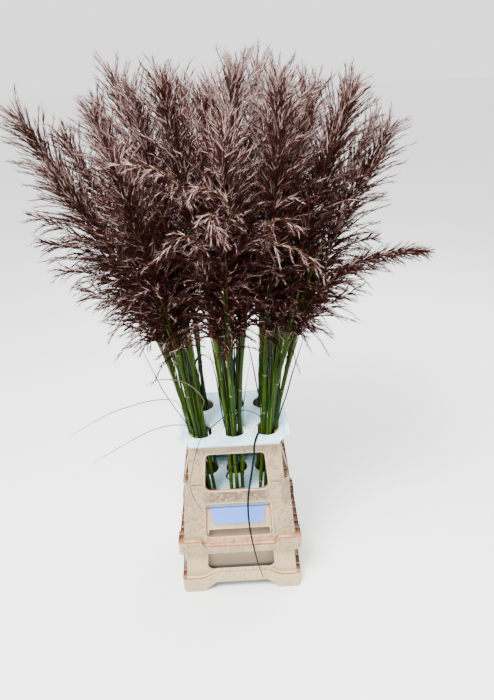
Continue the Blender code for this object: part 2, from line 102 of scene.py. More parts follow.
# The tapering walls, each as the height and half sizes that it starts and ends at
BASE_LEVELS = ((BASE_SKIRT_TOP - 0.002, BASE_FOOT_HALF), (BASE_TOP - 0.002, BASE_TOP_HALF))
UPPER_LOW_LEVELS = ((UPPER_SKIRT_TOP - 0.024, UPPER_FOOT_HALF), (UPPER_STEP - 0.002, UPPER_STEP_HALF))
UPPER_NECK_LEVELS = ((UPPER_STEP + 0.001, UPPER_NECK_HALF), (UPPER_TOP - 0.002, UPPER_TOP_HALF))
UPPER_LEVELS = UPPER_LOW_LEVELS + UPPER_NECK_LEVELS

# The flat cap on top of each frame
CAP_WIDTH = 0.0145
CAP_DEPTH = 0.0025

# Windows: half widths low and high in the long sides, then in the short ones; heights; corner radii low
# and high
BASE_WINDOWS = ((0.114, 0.101), (0.064, 0.056), (0.080, 0.258), (0.024, 0.010))
LOWER_WINDOWS = ((0.1095, 0.1035), (0.064, 0.058), (0.228, 0.370), (0.018, 0.012))
UPPER_WINDOWS = ((0.1005, 0.0925), (0.060, 0.054), (0.418, 0.5565), (0.022, 0.016))

# The upper frame's corners are square low down and chamfered from here up to the step
CHAMFER_LEVELS = (0.338, 0.357)
STEP_CHAMFER = 0.0275
SQUARE_CORNER = 0.002
STEP_OVERHANG = 0.003

# How far out from the middle the cutters of the windows reach
CUT_REACH = 0.22

# The small holes in the base's front and back ledges, drawn as dark boxes of painted shade: half the
# length of their row, its place, its height, their spacing and their size
LEDGE_HOLES = (0.066, 0.139, BASE_SKIRT_TOP + BASE_CROWN_RISE + 0.0014)
LEDGE_HOLE_SPACING = 0.025
LEDGE_HOLE_SIZE = (0.0045, 0.0030, 0.0012)

# The gutter in each skirt's top: where it starts and ends inwards from the skirt's face, on the long
# sides, and on the short ones, where it widens into a row of deep cells
GUTTER = (0.0024, 0.0074)
CELLS = (0.0014, 0.0134)
CELL_DROP = 0.006
UPPER_CELL_END = 0.0168
GUTTER_DEPTH = 0.0070
GUTTER_FLOOR = 0.0095

# The ribs across gutters and cells: their heights, and how much longer they are than the gap they cross
GUTTER_RIB_HEIGHT = 0.0072
STEP_RIB_HEIGHT = 0.0048
RIB_OVERLAP = 0.0004

# The dark linings, sheets of painted shade in the gutters and cells: how far they lie below the rim, how far
# they run into the plastic on either side, and how much lower they are on the short sides
LINING_DEPTHS = (0.0018, 0.0034)
LINING_OVERLAP = 0.0003
LINING_DROP = 0.0042
STEP_LINING_DEPTHS = (0.0036, 0.0026)

# The dark inner edge of the windows, a tube of painted shade: how far inside the lip and behind it, and its
# radius
REVEAL_SHADE = (0.0030, 0.0022, 0.0016)

# The row of cells on each short side of the step, and how deep it is
STEP_CELLS = (0.0014, 0.0168)
STEP_CELL_DROP = 0.0045

BUCKET_HEIGHT = 0.298
BUCKET_FOOT_HALF = (0.146, 0.104)
BUCKET_RIM_HALF = (0.152, 0.110)

# Plates: their holes, their sheet, and each one's half sizes, level and how far its long edges are bent
HOLE_RADIUS = 0.0365
HOLE_COLUMNS = (-0.100, 0.0, 0.100)
HOLE_ROW = 0.073
SHEET = 0.001
UPPER_PLATE = ((0.1675, 0.150), 0.6043, -0.006)
LOWER_PLATE = ((0.162, 0.1265), 0.3463, 0.020)
PLATE_CHAMFER = (0.035, 0.040)
FOLD_WIDTH = 0.016

# A quarter round bend in a plate as shares of its radius: how far out it has come, and how far down
BEND = ((0.5, 0.13), (0.87, 0.5), (1.0, 1.0))

# Heights that the lit ledge above the upper skirt fades in and out over, and the stain between the windows
LEDGE_BAND = ((0.190, 0.198), (0.236, 0.222))
STAIN_BAND = ((0.372, 0.382), (0.426, 0.414))

# Culms: their radius, the steps along them, their sides, and the tones that they take in turn
CULM_RADIUS = 0.006
CULM_STEP = 0.016
CULM_SIDES = 8
CULM_TONES = (0.62, 0.30, 0.74, 0.12, 0.50, 0.84, 0.22, 0.96, 0.40, 0.68)

# How far a culm's foot stands off the bucket's floor, and a culm off the middle of its hole; how much
# the culms of a bunch spread, and how far they are shifted the way that the bunch leans
FOOT_GAP = 0.0003
SEAT_RADIUS = 0.018
SEAT_SPREAD = 0.04
LEAN_SHIFT = 0.010

# The narrow blades along the culms: half their thickness, and how far above the lower plate they start
SLIM_BLADE = 0.0007
SLIM_BLADE_START = 0.014

# The turn between one side branch of a plume and the next, and the rachis length of a full plume
GOLDEN_ANGLE = 2.39996
FULL_PLUME = 0.65

# How much a tassel's branches sag, and the half depth past which they are pressed in
TASSEL_DROOP = 0.5
TASSEL_DEPTH = 0.32

# The stalk that droops to the side, and how far up it starts to bend
DROOPING_STALK = ("front_right", 3)
DROOP_REACH = 0.62

# Where each bunch leans at the plates, and each stalk: seat, tip of its plume, where the plume starts
BUNCH_LEAN = {
    "front_left": (-0.08, -0.04), "front_middle": (0.0, -0.05), "front_right": (0.07, -0.04),
    "back_left": (-0.08, 0.03), "back_middle": (0.0, 0.05), "back_right": (0.07, 0.03),
}
SEATS = {"middle": (0, 0), "left": (-1, 0), "right": (1, 0), "front": (0, -1), "back": (0, 1)}
STALKS = {
    "front_left": (
        ("left", (-0.47, -0.07, 1.53), 0.92), ("back", (-0.30, -0.05, 1.53), 0.93),
        ("front", (-0.21, -0.31, 1.45), 0.90), ("middle", (-0.37, -0.22, 1.42), 0.91),
        ("right", (-0.17, -0.19, 1.58), 0.94)),
    "front_middle": (
        ("left", (-0.10, -0.25, 1.58), 0.93), ("back", (-0.03, -0.08, 1.56), 0.95),
        ("front", (0.02, -0.33, 1.50), 0.90), ("middle", (0.045, -0.20, 1.60), 0.92),
        ("right", (0.15, -0.13, 1.56), 0.94)),
    "front_right": (
        ("left", (0.14, -0.27, 1.57), 0.93), ("back", (0.22, -0.04, 1.57), 0.95),
        ("front", (0.51, -0.22, 1.17), 0.93), ("middle", (0.31, -0.17, 1.55), 0.93),
        ("right", (0.42, -0.10, 1.47), 0.92)),
    "back_left": (
        ("left", (-0.43, 0.12, 1.47), 0.90), ("back", (-0.24, 0.32, 1.50), 0.90),
        ("front", (-0.25, 0.06, 1.61), 0.93), ("middle", (-0.34, 0.20, 1.54), 0.92),
        ("right", (-0.14, 0.18, 1.60), 0.94)),
    "back_middle": (
        ("left", (-0.09, 0.07, 1.58), 0.94), ("back", (-0.02, 0.34, 1.50), 0.90),
        ("front", (0.06, 0.00, 1.60), 0.95), ("middle", (-0.01, 0.22, 1.57), 0.93),
        ("right", (0.12, 0.18, 1.62), 0.93)),
    "back_right": (
        ("left", (0.16, 0.07, 1.60), 0.94), ("back", (0.22, 0.31, 1.50), 0.90),
        ("front", (0.35, 0.02, 1.56), 0.93), ("middle", (0.28, 0.17, 1.56), 0.92),
        ("right", (0.44, 0.12, 1.46), 0.90)),
}

# Leaf blades: width, finish, the stalk that each grows from, the height of its root, its route
LEAVES = {
    "leaf_long_front": (0.0065, "blue", ("front_right", 1), 0.575, (
        (0.0795, -0.0945, 0.601), (0.073, -0.103, 0.6105), (0.063, -0.138, 0.611), (0.0575, -0.159, 0.600),
        (0.056, -0.163, 0.575), (0.048, -0.164, 0.517), (0.032, -0.165, 0.404), (0.034, -0.167, 0.285),
        (0.052, -0.170, 0.156), (0.069, -0.172, 0.078))),
    "leaf_arc_front": (0.0058, "dark", ("front_right", 1), 0.640, (
        (0.074, -0.104, 0.675), (0.036, -0.140, 0.716), (-0.006, -0.165, 0.725), (-0.049, -0.180, 0.701),
        (-0.094, -0.185, 0.653), (-0.130, -0.180, 0.527), (-0.137, -0.178, 0.477), (-0.125, -0.172, 0.417),
        (-0.107, -0.162, 0.364))),
    "leaf_left_tall": (0.005, "dark", ("front_left", 1), 0.625, (
        (-0.142, -0.094, 0.660), (-0.160, -0.110, 0.710), (-0.188, -0.130, 0.790), (-0.208, -0.142, 0.865),
        (-0.227, -0.160, 0.945))),
    "leaf_cross_left": (0.008, "dark", ("back_left", 3), 0.640, (
        (-0.118, 0.036, 0.720), (-0.102, 0.014, 0.800), (-0.074, -0.012, 0.832), (-0.032, -0.050, 0.806))),
    "leaf_middle_left": (0.006, "blue", ("front_middle", 1), 0.620, (
        (-0.029, -0.092, 0.665), (-0.035, -0.095, 0.750), (-0.042, -0.098, 0.820), (-0.054, -0.104, 0.885))),
    "leaf_middle_right": (0.005, "dark", ("front_middle", 5), 0.630, (
        (0.030, -0.088, 0.680), (0.038, -0.092, 0.740), (0.048, -0.094, 0.800), (0.062, -0.094, 0.874))),
    "leaf_back_right": (0.005, "blue", ("back_right", 1), 0.620, (
        (0.080, 0.062, 0.670), (0.073, 0.050, 0.730), (0.065, 0.034, 0.790), (0.056, 0.016, 0.850))),
    "leaf_right_tall": (0.006, "dark", ("front_right", 5), 0.640, (
        (0.142, -0.094, 0.680), (0.158, -0.112, 0.750), (0.170, -0.122, 0.810), (0.184, -0.128, 0.865),
        (0.200, -0.132, 0.925))),
    "leaf_arc_left": (0.004, "dry", ("front_left", 5), 0.690, (
        (-0.080, -0.110, 0.736), (-0.101, -0.144, 0.798), (-0.138, -0.160, 0.834), (-0.187, -0.167, 0.843),
        (-0.226, -0.167, 0.828))),
    "leaf_window": (0.006, "dark", ("front_middle", 1), 0.415, (
        (-0.029, -0.100, 0.445), (-0.026, -0.110, 0.468), (-0.006, -0.112, 0.498), (0.030, -0.106, 0.524))),
    "leaf_droop_high": (0.005, "dark", ("front_left", 1), 0.690, (
        (-0.162, -0.102, 0.735), (-0.200, -0.128, 0.758), (-0.240, -0.148, 0.765), (-0.279, -0.160, 0.761),
        (-0.340, -0.180, 0.750), (-0.443, -0.200, 0.701))),
    "leaf_droop_low": (0.005, "dry", ("front_left", 3), 0.630, (
        (-0.138, -0.122, 0.662), (-0.180, -0.146, 0.682), (-0.238, -0.170, 0.680), (-0.317, -0.190, 0.648),
        (-0.397, -0.200, 0.605))),
}
ROOT_GAP = 0.0006
USUAL_BLADE = 0.006

# Pale tassels in front of the plumes and dark sprays at their flanks: the stalk and height each starts at,
# its fullness, its paleness and its route
TASSELS = {
    "tassel_left": (("front_middle", 1), 1.30, 1.0, 1.45, (
        (-0.072, -0.245, 1.345), (-0.077, -0.300, 1.368), (-0.107, -0.330, 1.398), (-0.142, -0.345, 1.411),
        (-0.191, -0.345, 1.413))),
    "tassel_hooked": (("front_middle", 3), 1.24, 1.0, 1.45, (
        (0.022, -0.290, 1.290), (0.026, -0.320, 1.317), (0.001, -0.340, 1.352), (-0.020, -0.345, 1.365),
        (-0.043, -0.350, 1.363), (-0.052, -0.350, 1.347))),
    "tassel_low_left": (("front_middle", 1), 1.15, 1.0, 1.45, (
        (-0.045, -0.230, 1.215), (-0.049, -0.300, 1.252), (-0.063, -0.320, 1.266), (-0.087, -0.335, 1.263),
        (-0.111, -0.340, 1.243), (-0.145, -0.340, 1.212))),
    "tassel_middle": (("front_middle", 3), 1.26, 1.0, 1.45, (
        (-0.010, -0.290, 1.302), (-0.017, -0.330, 1.299), (-0.006, -0.340, 1.283), (0.007, -0.345, 1.259))),
    "tassel_right": (("front_right", 1), 1.12, 1.0, 1.45, (
        (0.100, -0.190, 1.185), (0.104, -0.240, 1.215), (0.122, -0.270, 1.224), (0.161, -0.300, 1.220),
        (0.194, -0.310, 1.199), (0.224, -0.315, 1.159))),
    "tassel_high_right": (("front_right", 1), 1.18, 1.0, 1.45, (
        (0.100, -0.220, 1.240), (0.108, -0.280, 1.277), (0.136, -0.300, 1.285), (0.168, -0.310, 1.269))),
    "spray_left_top": (("front_left", 1), 1.12, 2.0, 0.35, (
        (-0.330, -0.115, 1.205), (-0.385, -0.120, 1.252), (-0.437, -0.120, 1.276))),
    "spray_left_high": (("front_left", 1), 1.06, 2.0, 0.3, (
        (-0.300, -0.110, 1.150), (-0.360, -0.120, 1.200), (-0.425, -0.120, 1.212))),
    "spray_left_middle": (("front_left", 1), 1.00, 2.0, 0.3, (
        (-0.270, -0.110, 1.080), (-0.330, -0.120, 1.128), (-0.395, -0.120, 1.142))),
    "spray_left_low": (("front_left", 1), 0.95, 2.0, 0.3, (
        (-0.245, -0.110, 1.010), (-0.295, -0.120, 1.060), (-0.350, -0.120, 1.082))),
    "spray_right_high": (("front_right", 1), 1.04, 2.0, 0.3, (
        (0.250, -0.120, 1.120), (0.320, -0.100, 1.165), (0.385, -0.080, 1.178))),
    "spray_right_middle": (("front_right", 1), 0.98, 2.0, 0.3, (
        (0.240, -0.120, 1.050), (0.320, -0.100, 1.090), (0.400, -0.080, 1.104))),
    "spray_right_low": (("front_right", 1), 0.92, 2.0, 0.3, (
        (0.220, -0.120, 0.980), (0.290, -0.100, 1.020), (0.352, -0.080, 1.040))),
}

# The four sides anticlockwise from the front: the way along each, and the way out of it
SIDES = (((1, 0), (0, -1)), ((0, 1), (1, 0)), ((-1, 0), (0, 1)), ((0, -1), (-1, 0)))

# Camera: place, turn to the right, tilt down and roll in degrees, focal length for a 36 mm side
CAMERA_PLACE = (0.0274, -1.424, 1.5551)
CAMERA_TURN, CAMERA_TILT, CAMERA_ROLL = 0.9839, 26.8535, 2.4929
CAMERA_LENS = 27.771

# Lights: place and width of each, and the point they look at; half the floor's width
LAMPS = {"key": ((-1.0, -1.7, 3.7), 1.2), "back": ((1.6, 1.8, 3.2), 1.6)}
LAMP_AIM = (0, 0, 0.9)
FLOOR_HALF = 90.0


# ------------------------------------------------------------
# Node trees

def pick(sockets, name):
    """The socket of that name which is in use, or the first one in use if no name is given."""
    return next(item for item in sockets if item.enabled and (name is None or item.name == name))


def add(tree, kind, inputs=None, **settings):
    """A node with its settings and inputs; a node or a socket given as an input is linked to it."""
    node = tree.nodes.new(kind)
    for name, value in settings.items():
        setattr(node, name, value)
    for key, value in (inputs or {}).items():
        socket = node.inputs[key] if isinstance(key, int) else pick(node.inputs, key)
        if isinstance(value, bpy.types.Node):
            value = pick(value.outputs, None)
        if isinstance(value, bpy.types.NodeSocket):
            tree.links.new(value, socket)
        elif value is not None:
            socket.default_value = value
    return node


def calc(tree, operation, *values):
    """A maths node."""
    return add(tree, "ShaderNodeMath", dict(enumerate(values)), operation=operation)


def times(tree, first, second):
    """One value times another."""
    return calc(tree, "MULTIPLY", first, second)


def plus(tree, first, second):
    """The sum of two values."""
    return calc(tree, "ADD", first, second)


def minus(tree, first, second):
    """One value less another."""
    return calc(tree, "SUBTRACT", first, second)


def absolute(tree, value):
    """A value without its sign."""
    return calc(tree, "ABSOLUTE", value)


def axes_of(tree, place):
    """The X, Y and Z of a place or a direction."""
    return add(tree, "ShaderNodeSeparateXYZ", {"Vector": place}).outputs


def from_axes(tree, **axes):
    """A vector from its X, Y and Z."""
    return add(tree, "ShaderNodeCombineXYZ", axes)


def position_axes(tree):
    """The X, Y and Z of each point."""
    return axes_of(tree, add(tree, "GeometryNodeInputPosition"))


def normal_axes(tree):
    """The X, Y and Z of the way that the surface faces."""
    return axes_of(tree, pick(add(tree, "ShaderNodeNewGeometry").outputs, "Normal"))


def toned(colour, factor):
    """A colour made lighter or darker."""
    return tuple(min(1.0, part * factor) for part in colour[:3]) + (1,)


def between(first, second, share):
    """A colour a share of the way from one to another."""
    return tuple(mix(a, b, share) for a, b in zip(first, second))


def spread_of(tree, value, low, high, to_low=0.0, to_high=1.0):
    """A value carried over from one range to another, and kept within it."""
    return add(tree, "ShaderNodeMapRange", {"Value": value, "From Min": low, "From Max": high,
                                            "To Min": to_low, "To Max": to_high})


def within(tree, value, rise, fall):
    """One where a value lies between two edges; each edge is a range that it fades over."""
    return times(tree, spread_of(tree, value, *rise), spread_of(tree, value, *fall))


def mixed(tree, share, first, second):
    """A colour between two others."""
    return pick(add(tree, "ShaderNodeMix", {"Factor": share, "A": first, "B": second},
                    data_type="RGBA").outputs, "Result")


def ramp(tree, value, stops):
    """A colour ramp with (place, colour) stops."""
    node = add(tree, "ShaderNodeValToRGB", {"Fac": value})
    band = node.color_ramp
    while len(band.elements) < len(stops):
        band.elements.new(0.5)
    for element, (place, colour) in zip(band.elements, stops):
        element.position = place
        element.color = (*colour[:3], 1.0)
    return node


def noise(tree, where, scale, detail=3.0, **inputs):
    """Noise over a place, as a value about 0.5."""
    return add(tree, "ShaderNodeTexNoise", {"Vector": where, "Scale": scale, "Detail": detail, **inputs})


def stretched(tree, where, scale):
    """A place scaled differently along each axis."""
    return add(tree, "ShaderNodeMapping", {"Vector": where, "Scale": scale})


def attribute(tree, name):
    """A stored value of the surface."""
    return pick(add(tree, "ShaderNodeAttribute", attribute_name=name).outputs, "Fac")


def new_material(name, **settings):
    """An empty Principled material: its tree, its shader and the object's own coordinates."""
    material = bpy.data.materials.new(name)
    material.use_nodes = True
    tree = material.node_tree
    shader = tree.nodes["Principled BSDF"]
    for key, value in settings.items():
        shader.inputs[key.replace("_", " ")].default_value = value
    place = pick(add(tree, "ShaderNodeTexCoord").outputs, "Object")
    return material, tree, shader, place


def finish_material(tree, shader, colour, roughness=None, height=None, strength=0.2, depth=0.001):
    """Join a colour, a roughness and a bump height to the shader."""
    tree.links.new(colour if isinstance(colour, bpy.types.NodeSocket) else pick(colour.outputs, None),
                   shader.inputs["Base Color"])
    if roughness:
        tree.links.new(pick(roughness.outputs, None), shader.inputs["Roughness"])
    if height:
        bump = add(tree, "ShaderNodeBump", {"Strength": strength, "Distance": depth, "Height": height})
        tree.links.new(bump.outputs["Normal"], shader.inputs["Normal"])


def geometry_tree(name, numbers, **others):
    """An empty geometry tree with inputs for numbers, other kinds and the material, and its end nodes."""
    tree = bpy.data.node_groups.new(name, "GeometryNodeTree")
    tree.interface.new_socket("Geometry", in_out="INPUT", socket_type="NodeSocketGeometry")
    tree.interface.new_socket("Geometry", in_out="OUTPUT", socket_type="NodeSocketGeometry")
    for label, kind in (*((label, "Float") for label in numbers), *others.items(), ("Material", "Material")):
        tree.interface.new_socket(label, in_out="INPUT", socket_type="NodeSocket" + kind)
    return tree, tree.nodes.new("NodeGroupInput"), tree.nodes.new("NodeGroupOutput")


def stored(tree, geometry, name, value, domain="POINT"):
    """Geometry that carries a value under a name."""
    return add(tree, "GeometryNodeStoreNamedAttribute",
               {"Geometry": geometry, "Name": name, "Value": value}, data_type="FLOAT", domain=domain)


def recalled(tree, name):
    """A value that the geometry carries."""
    return pick(add(tree, "GeometryNodeInputNamedAttribute", {"Name": name}, data_type="FLOAT").outputs,
                "Attribute")


def chance(tree, low, high, turn):
    """A random value for each element; turn tells apart the draws made from the tree's one seed."""
    seed = next(node for node in tree.nodes if node.type == "GROUP_INPUT").outputs["Seed"]
    return add(tree, "FunctionNodeRandomValue",
               {"Min": low, "Max": high, "Seed": plus(tree, seed, turn)}, data_type="FLOAT")


def points_along(tree, curve, spacing):
    """Points at even steps along a curve."""
    return add(tree, "GeometryNodeCurveToPoints", {"Curve": curve, "Length": spacing}, mode="LENGTH")


def upright(tree, points):
    """The rotation that turns Z along the curve at each point."""
    return add(tree, "FunctionNodeAlignRotationToVector", {"Vector": points.outputs["Tangent"]}, axis="Z")


def leaning(tree, points, lean, around):
    """The rotation along the curve at each point, leant off it and turned about it."""
    return add(tree, "FunctionNodeRotateRotation", {
        "Rotation": upright(tree, points),
        "Rotate By": add(tree, "FunctionNodeEulerToRotation", {"Euler": from_axes(tree, X=lean, Z=around)})},
        rotation_space="LOCAL")


def copies(tree, points, shape, rotation, scale=None, chosen=None):
    """Copies of a shape on all points, or on the chosen ones."""
    return add(tree, "GeometryNodeInstanceOnPoints", {
        "Points": points.outputs["Points"], "Selection": chosen, "Instance": shape, "Rotation": rotation,
        "Scale": scale})


def moved(tree, geometry, offset):
    """Geometry with its points moved."""
    return add(tree, "GeometryNodeSetPosition", {"Geometry": geometry, "Offset": offset})


def finish_tree(tree, given, result, parts):
    """Join the parts, make their copies real and give them the material."""
    joined = add(tree, "GeometryNodeJoinGeometry")
    for part in parts:
        tree.links.new(pick(part.outputs, None), joined.inputs[0])
    real = add(tree, "GeometryNodeRealizeInstances", {"Geometry": joined})
    done = add(tree, "GeometryNodeSetMaterial", {"Geometry": real, "Material": given.outputs["Material"]})
    tree.links.new(done.outputs[0], result.inputs[0])
    return tree


def linked(name, data):
    """A new object that holds the data, linked to the scene."""
    item = bpy.data.objects.new(name, data)
    bpy.context.scene.collection.objects.link(item)
    return item


def evaluated(host):
    """The mesh that an object's modifiers make of it."""
    return bpy.data.meshes.new_from_object(host.evaluated_get(bpy.context.evaluated_depsgraph_get()))


def grown(name, tree, paths, **values):
    """A plain mesh that a geometry tree makes along open paths."""
    mesh = bpy.data.meshes.new(name + "_paths")
    verts, edges = [], []
    for path in paths:
        edges += [(len(verts) + step, len(verts) + step + 1) for step in range(len(path) - 1)]
        verts += [tuple(point) for point in path]
    mesh.from_pydata(verts, edges, [])
    host = linked(name + "_paths", mesh)
    modifier = host.modifiers.new(tree.name, "NODES")
    modifier.node_group = tree
    for item in tree.interface.items_tree:
        if item.in_out == "INPUT" and item.name in values:
            modifier[item.identifier] = values[item.name]
    result = evaluated(host)
    bpy.data.objects.remove(host, do_unlink=True)
    bpy.data.meshes.remove(mesh)
    result.name = name
    return result


# ------------------------------------------------------------
# Meshes

def shown(name, mesh, slot, *nodes):
    """Link a finished piece, ride it on the body and let it stand for CAD nodes."""
    piece = linked(name, mesh)
    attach(piece, BODY)
    if nodes:
        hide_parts(*nodes)
    return piece


def mesh_from(name, fill, material=None, angle=None):
    """A mesh that the function fill builds, turned outwards, smooth up to an angle."""
    mesh = bpy.data.meshes.new(name)
    shape = bmesh.new()
    fill(shape)
    bmesh.ops.recalc_face_normals(shape, faces=shape.faces)
    if angle is not None:
        for face in shape.faces:
            face.smooth = True
        for edge in shape.edges:
            edge.smooth = edge.is_manifold and edge.calc_face_angle(0.0) < math.radians(angle)
    shape.to_mesh(mesh)
    shape.free()
    if material:
        mesh.materials.append(material)
    return mesh


def put_in_order(shape):
    """Sort edges and faces by their points, because extruding leaves them in a chance order."""
    shape.verts.index_update()
    for items in (shape.edges, shape.faces):
        in_order = sorted(items, key=lambda item: sorted(vert.index for vert in item.verts))
        for position, item in enumerate(in_order):
            item.index = position
        items.sort()


def joined_mesh(name, meshes, material):
    """One mesh from several."""
    shape = bmesh.new()
    for mesh in meshes:
        shape.from_mesh(mesh)
    result = bpy.data.meshes.new(name)
    shape.to_mesh(result)
    shape.free()
    result.materials.append(material)
    for face in result.polygons:
        face.material_index = 0
    return result


def with_modifiers(name, mesh, add_modifiers):
    """The mesh after modifiers, which the function adds to its object."""
    host = linked(name, mesh)
    add_modifiers(host)
    result = evaluated(host)
    bpy.data.objects.remove(host, do_unlink=True)
    result.name = name
    return result


def mix(low, high, share):
    """The value a share of the way from low to high."""
    return low + (high - low) * share


def inset(half, distance):
    """Half sizes brought in by a distance."""
    return (half[0] - distance, half[1] - distance)


def rounded_outline(half, corner, height, rise=0.0, arch=BASE_ARCH, steps=6):
    """Points round a rectangle with rounded corners, lifted in the middle of each side."""
    points = []
    for index, (travel, outward) in enumerate(SIDES):
        foot, crown = arch[0][index % 2], arch[1][index % 2]
        bend = []
        for step in range(ARCH_STEPS + 1):
            share = step / ARCH_STEPS
            eased = mix(share, share * share * (3 - 2 * share), ARCH_EASE)
            bend.append((mix(foot, crown, share), height + rise * eased))
        for along, level in [(-place, level) for place, level in bend] + bend[::-1]:
            x = travel[0] * along + outward[0] * half[0]
            y = travel[1] * along + outward[1] * half[1]
            points.append(Vector((x, y, level)))
        centre_x, centre_y = ((travel[axis] + outward[axis]) * (half[axis] - corner) for axis in (0, 1))
        for step in range(steps + 1):
            angle = -math.pi / 2 + (index + step / steps) * math.pi / 2
            x, y = centre_x + corner * math.cos(angle), centre_y + corner * math.sin(angle)
            points.append(Vector((x, y, height)))
    return points


def loft(shape, rings, closed=True):
    """Join rings of points, from one to the next, into one skin."""
    rows = [[shape.verts.new(point) for point in ring] for ring in rings]
    pairs = list(zip(rows, rows[1:])) + ([(rows[-1], rows[0])] if closed else [])
    for lower, upper in pairs:
        for index, vert in enumerate(lower):
            following = (index + 1) % len(lower)
            shape.faces.new((vert, lower[following], upper[following], upper[index]))
    return rows


def capped(shape, rings):
    """Join rings of points into a skin, and close both its ends."""
    rows = loft(shape, rings, closed=False)
    shape.faces.new(rows[0])
    shape.faces.new(rows[-1])


def tube(shape, path, radius, sides=6):
    """A closed loop of tube round a loop of points."""
    rings = []
    for index, point in enumerate(path):
        along = (path[(index + 1) % len(path)] - path[index - 1]).normalized()
        across = along.orthogonal().normalized() if not rings else across - along * across.dot(along)
        across.normalize()
        other = along.cross(across)
        rings.append([point + across * (radius * math.cos(turn)) + other * (radius * math.sin(turn))
                      for turn in (step / sides * math.tau for step in range(sides))])
    loft(shape, rings)


def window_outline(windows, side, setback, steps=5):
    """Points round a window in one wall: a rounded trapezium, setback is the wall's middle by height."""
    wide, narrow, (low, high), radii = windows
    half_low, half_high = narrow if side % 2 else wide
    corners = ((-half_low, low), (half_low, low), (half_high, high), (-half_high, high))
    turn = Matrix.Rotation(side * math.pi / 2, 3, "Z")
    points = []
    for (across, height), start in zip(corners, (math.pi, 1.5 * math.pi, 0.0, 0.5 * math.pi)):
        radius = radii[height == high]
        centre = (across - math.copysign(radius, across), height + (radius if height == low else -radius))
        for step in range(steps + 1):
            angle = start + step / steps * math.pi / 2
            z = centre[1] + radius * math.sin(angle)
            points.append(turn @ Vector((centre[0] + radius * math.cos(angle), -setback(z, side), z)))
    return points


def cut_windows(mesh, windows, reach, sides=range(4)):
    """The mesh with a window cut in each wall, from reach outwards."""
    def fill(shape):
        for side in sides:
            outward = Vector((*SIDES[side][1], 0.0))
            near = window_outline(windows, side, lambda z, s: reach[s % 2])
            far = [point + outward * (CUT_REACH - reach[side % 2]) for point in near]
            capped(shape, (near, far))

    cutter = linked("window_cutter", mesh_from("window_cutter", fill))

    def modify(host):
        modifier = host.modifiers.new("windows", "BOOLEAN")
        modifier.operation, modifier.object, modifier.solver = "DIFFERENCE", cutter, "EXACT"

    result = with_modifiers(mesh.name, mesh, modify)
    bpy.data.objects.remove(cutter, do_unlink=True)
    return result


# ------------------------------------------------------------
# Stalks and their plumes

def stalk_path(bunch, number, straight=10, steps=24):
    """Points up one stalk: straight through the plates, then bending over to the plume's tip."""
    seat, tip, _ = STALKS[bunch][number - 1]
    row, column = bunch.split("_")
    hole = Vector((HOLE_COLUMNS[("left", "middle", "right").index(column)],
                   -HOLE_ROW if row == "front" else HOLE_ROW, UPPER_PLATE[1]))
    lean = Vector((*BUNCH_LEAN[bunch], 0.0))
    offset = Vector((*SEATS[seat], 0.0))
    waist = hole + offset * SEAT_RADIUS + lean.normalized() * LEAN_SHIFT
    foot_height = WALL + FOOT_GAP + CULM_RADIUS * lean.length
    foot = waist - (lean + Vector((0, 0, 1))) * (waist.z - foot_height)
    climb = lean + offset * SEAT_SPREAD + Vector((0, 0, 1))
    tip = Vector(tip)
    reach = DROOP_REACH if (bunch, number) == DROOPING_STALK else (tip.z - waist.z) / 2
    bend = waist + climb * reach
    points = [foot.lerp(waist, step / straight) for step in range(straight)]
    for step in range(steps + 1):
        t = step / steps
        points.append(waist * (1 - t) ** 2 + bend * 2 * t * (1 - t) + tip * t ** 2)
    return points


def stalk_names():
    """Every stalk as (bunch, number)."""
    return [(bunch, number) for bunch in STALKS for number in range(1, len(STALKS[bunch]) + 1)]


def split_stalk(bunch, number):
    """The points of the bare culm, and those of the plume's rachis."""
    start = STALKS[bunch][number - 1][2]
    points = stalk_path(bunch, number)
    first = next(index for index, point in enumerate(points) if point.z >= start)
    low, high = points[first - 1], points[first]
    joint = low.lerp(high, (start - low.z) / (high.z - low.z))
    return points[:first] + [joint], [joint] + points[first:]


def point_on_stalk(bunch, number, height):
    """The point of a stalk's axis at a height."""
    points = stalk_path(bunch, number)
    upper = next(index for index, point in enumerate(points) if point.z >= height)
    low, high = points[upper - 1], points[upper]
    return low.lerp(high, (height - low.z) / (high.z - low.z))


def smooth_route(points, steps=5):
    """Points along a smooth curve through the given ones."""
    ends = [points[0] * 2 - points[1], *points, points[-1] * 2 - points[-2]]
    route = []
    for a, b, c, d in zip(ends, ends[1:], ends[2:], ends[3:]):
        for step in range(steps):
            t = step / steps
            route.append((b * 2 + (c - a) * t + (a * 2 - b * 5 + c * 4 - d) * t ** 2
                          + (b * 3 - a - c * 3 + d) * t ** 3) / 2)
    return route + [points[-1]]


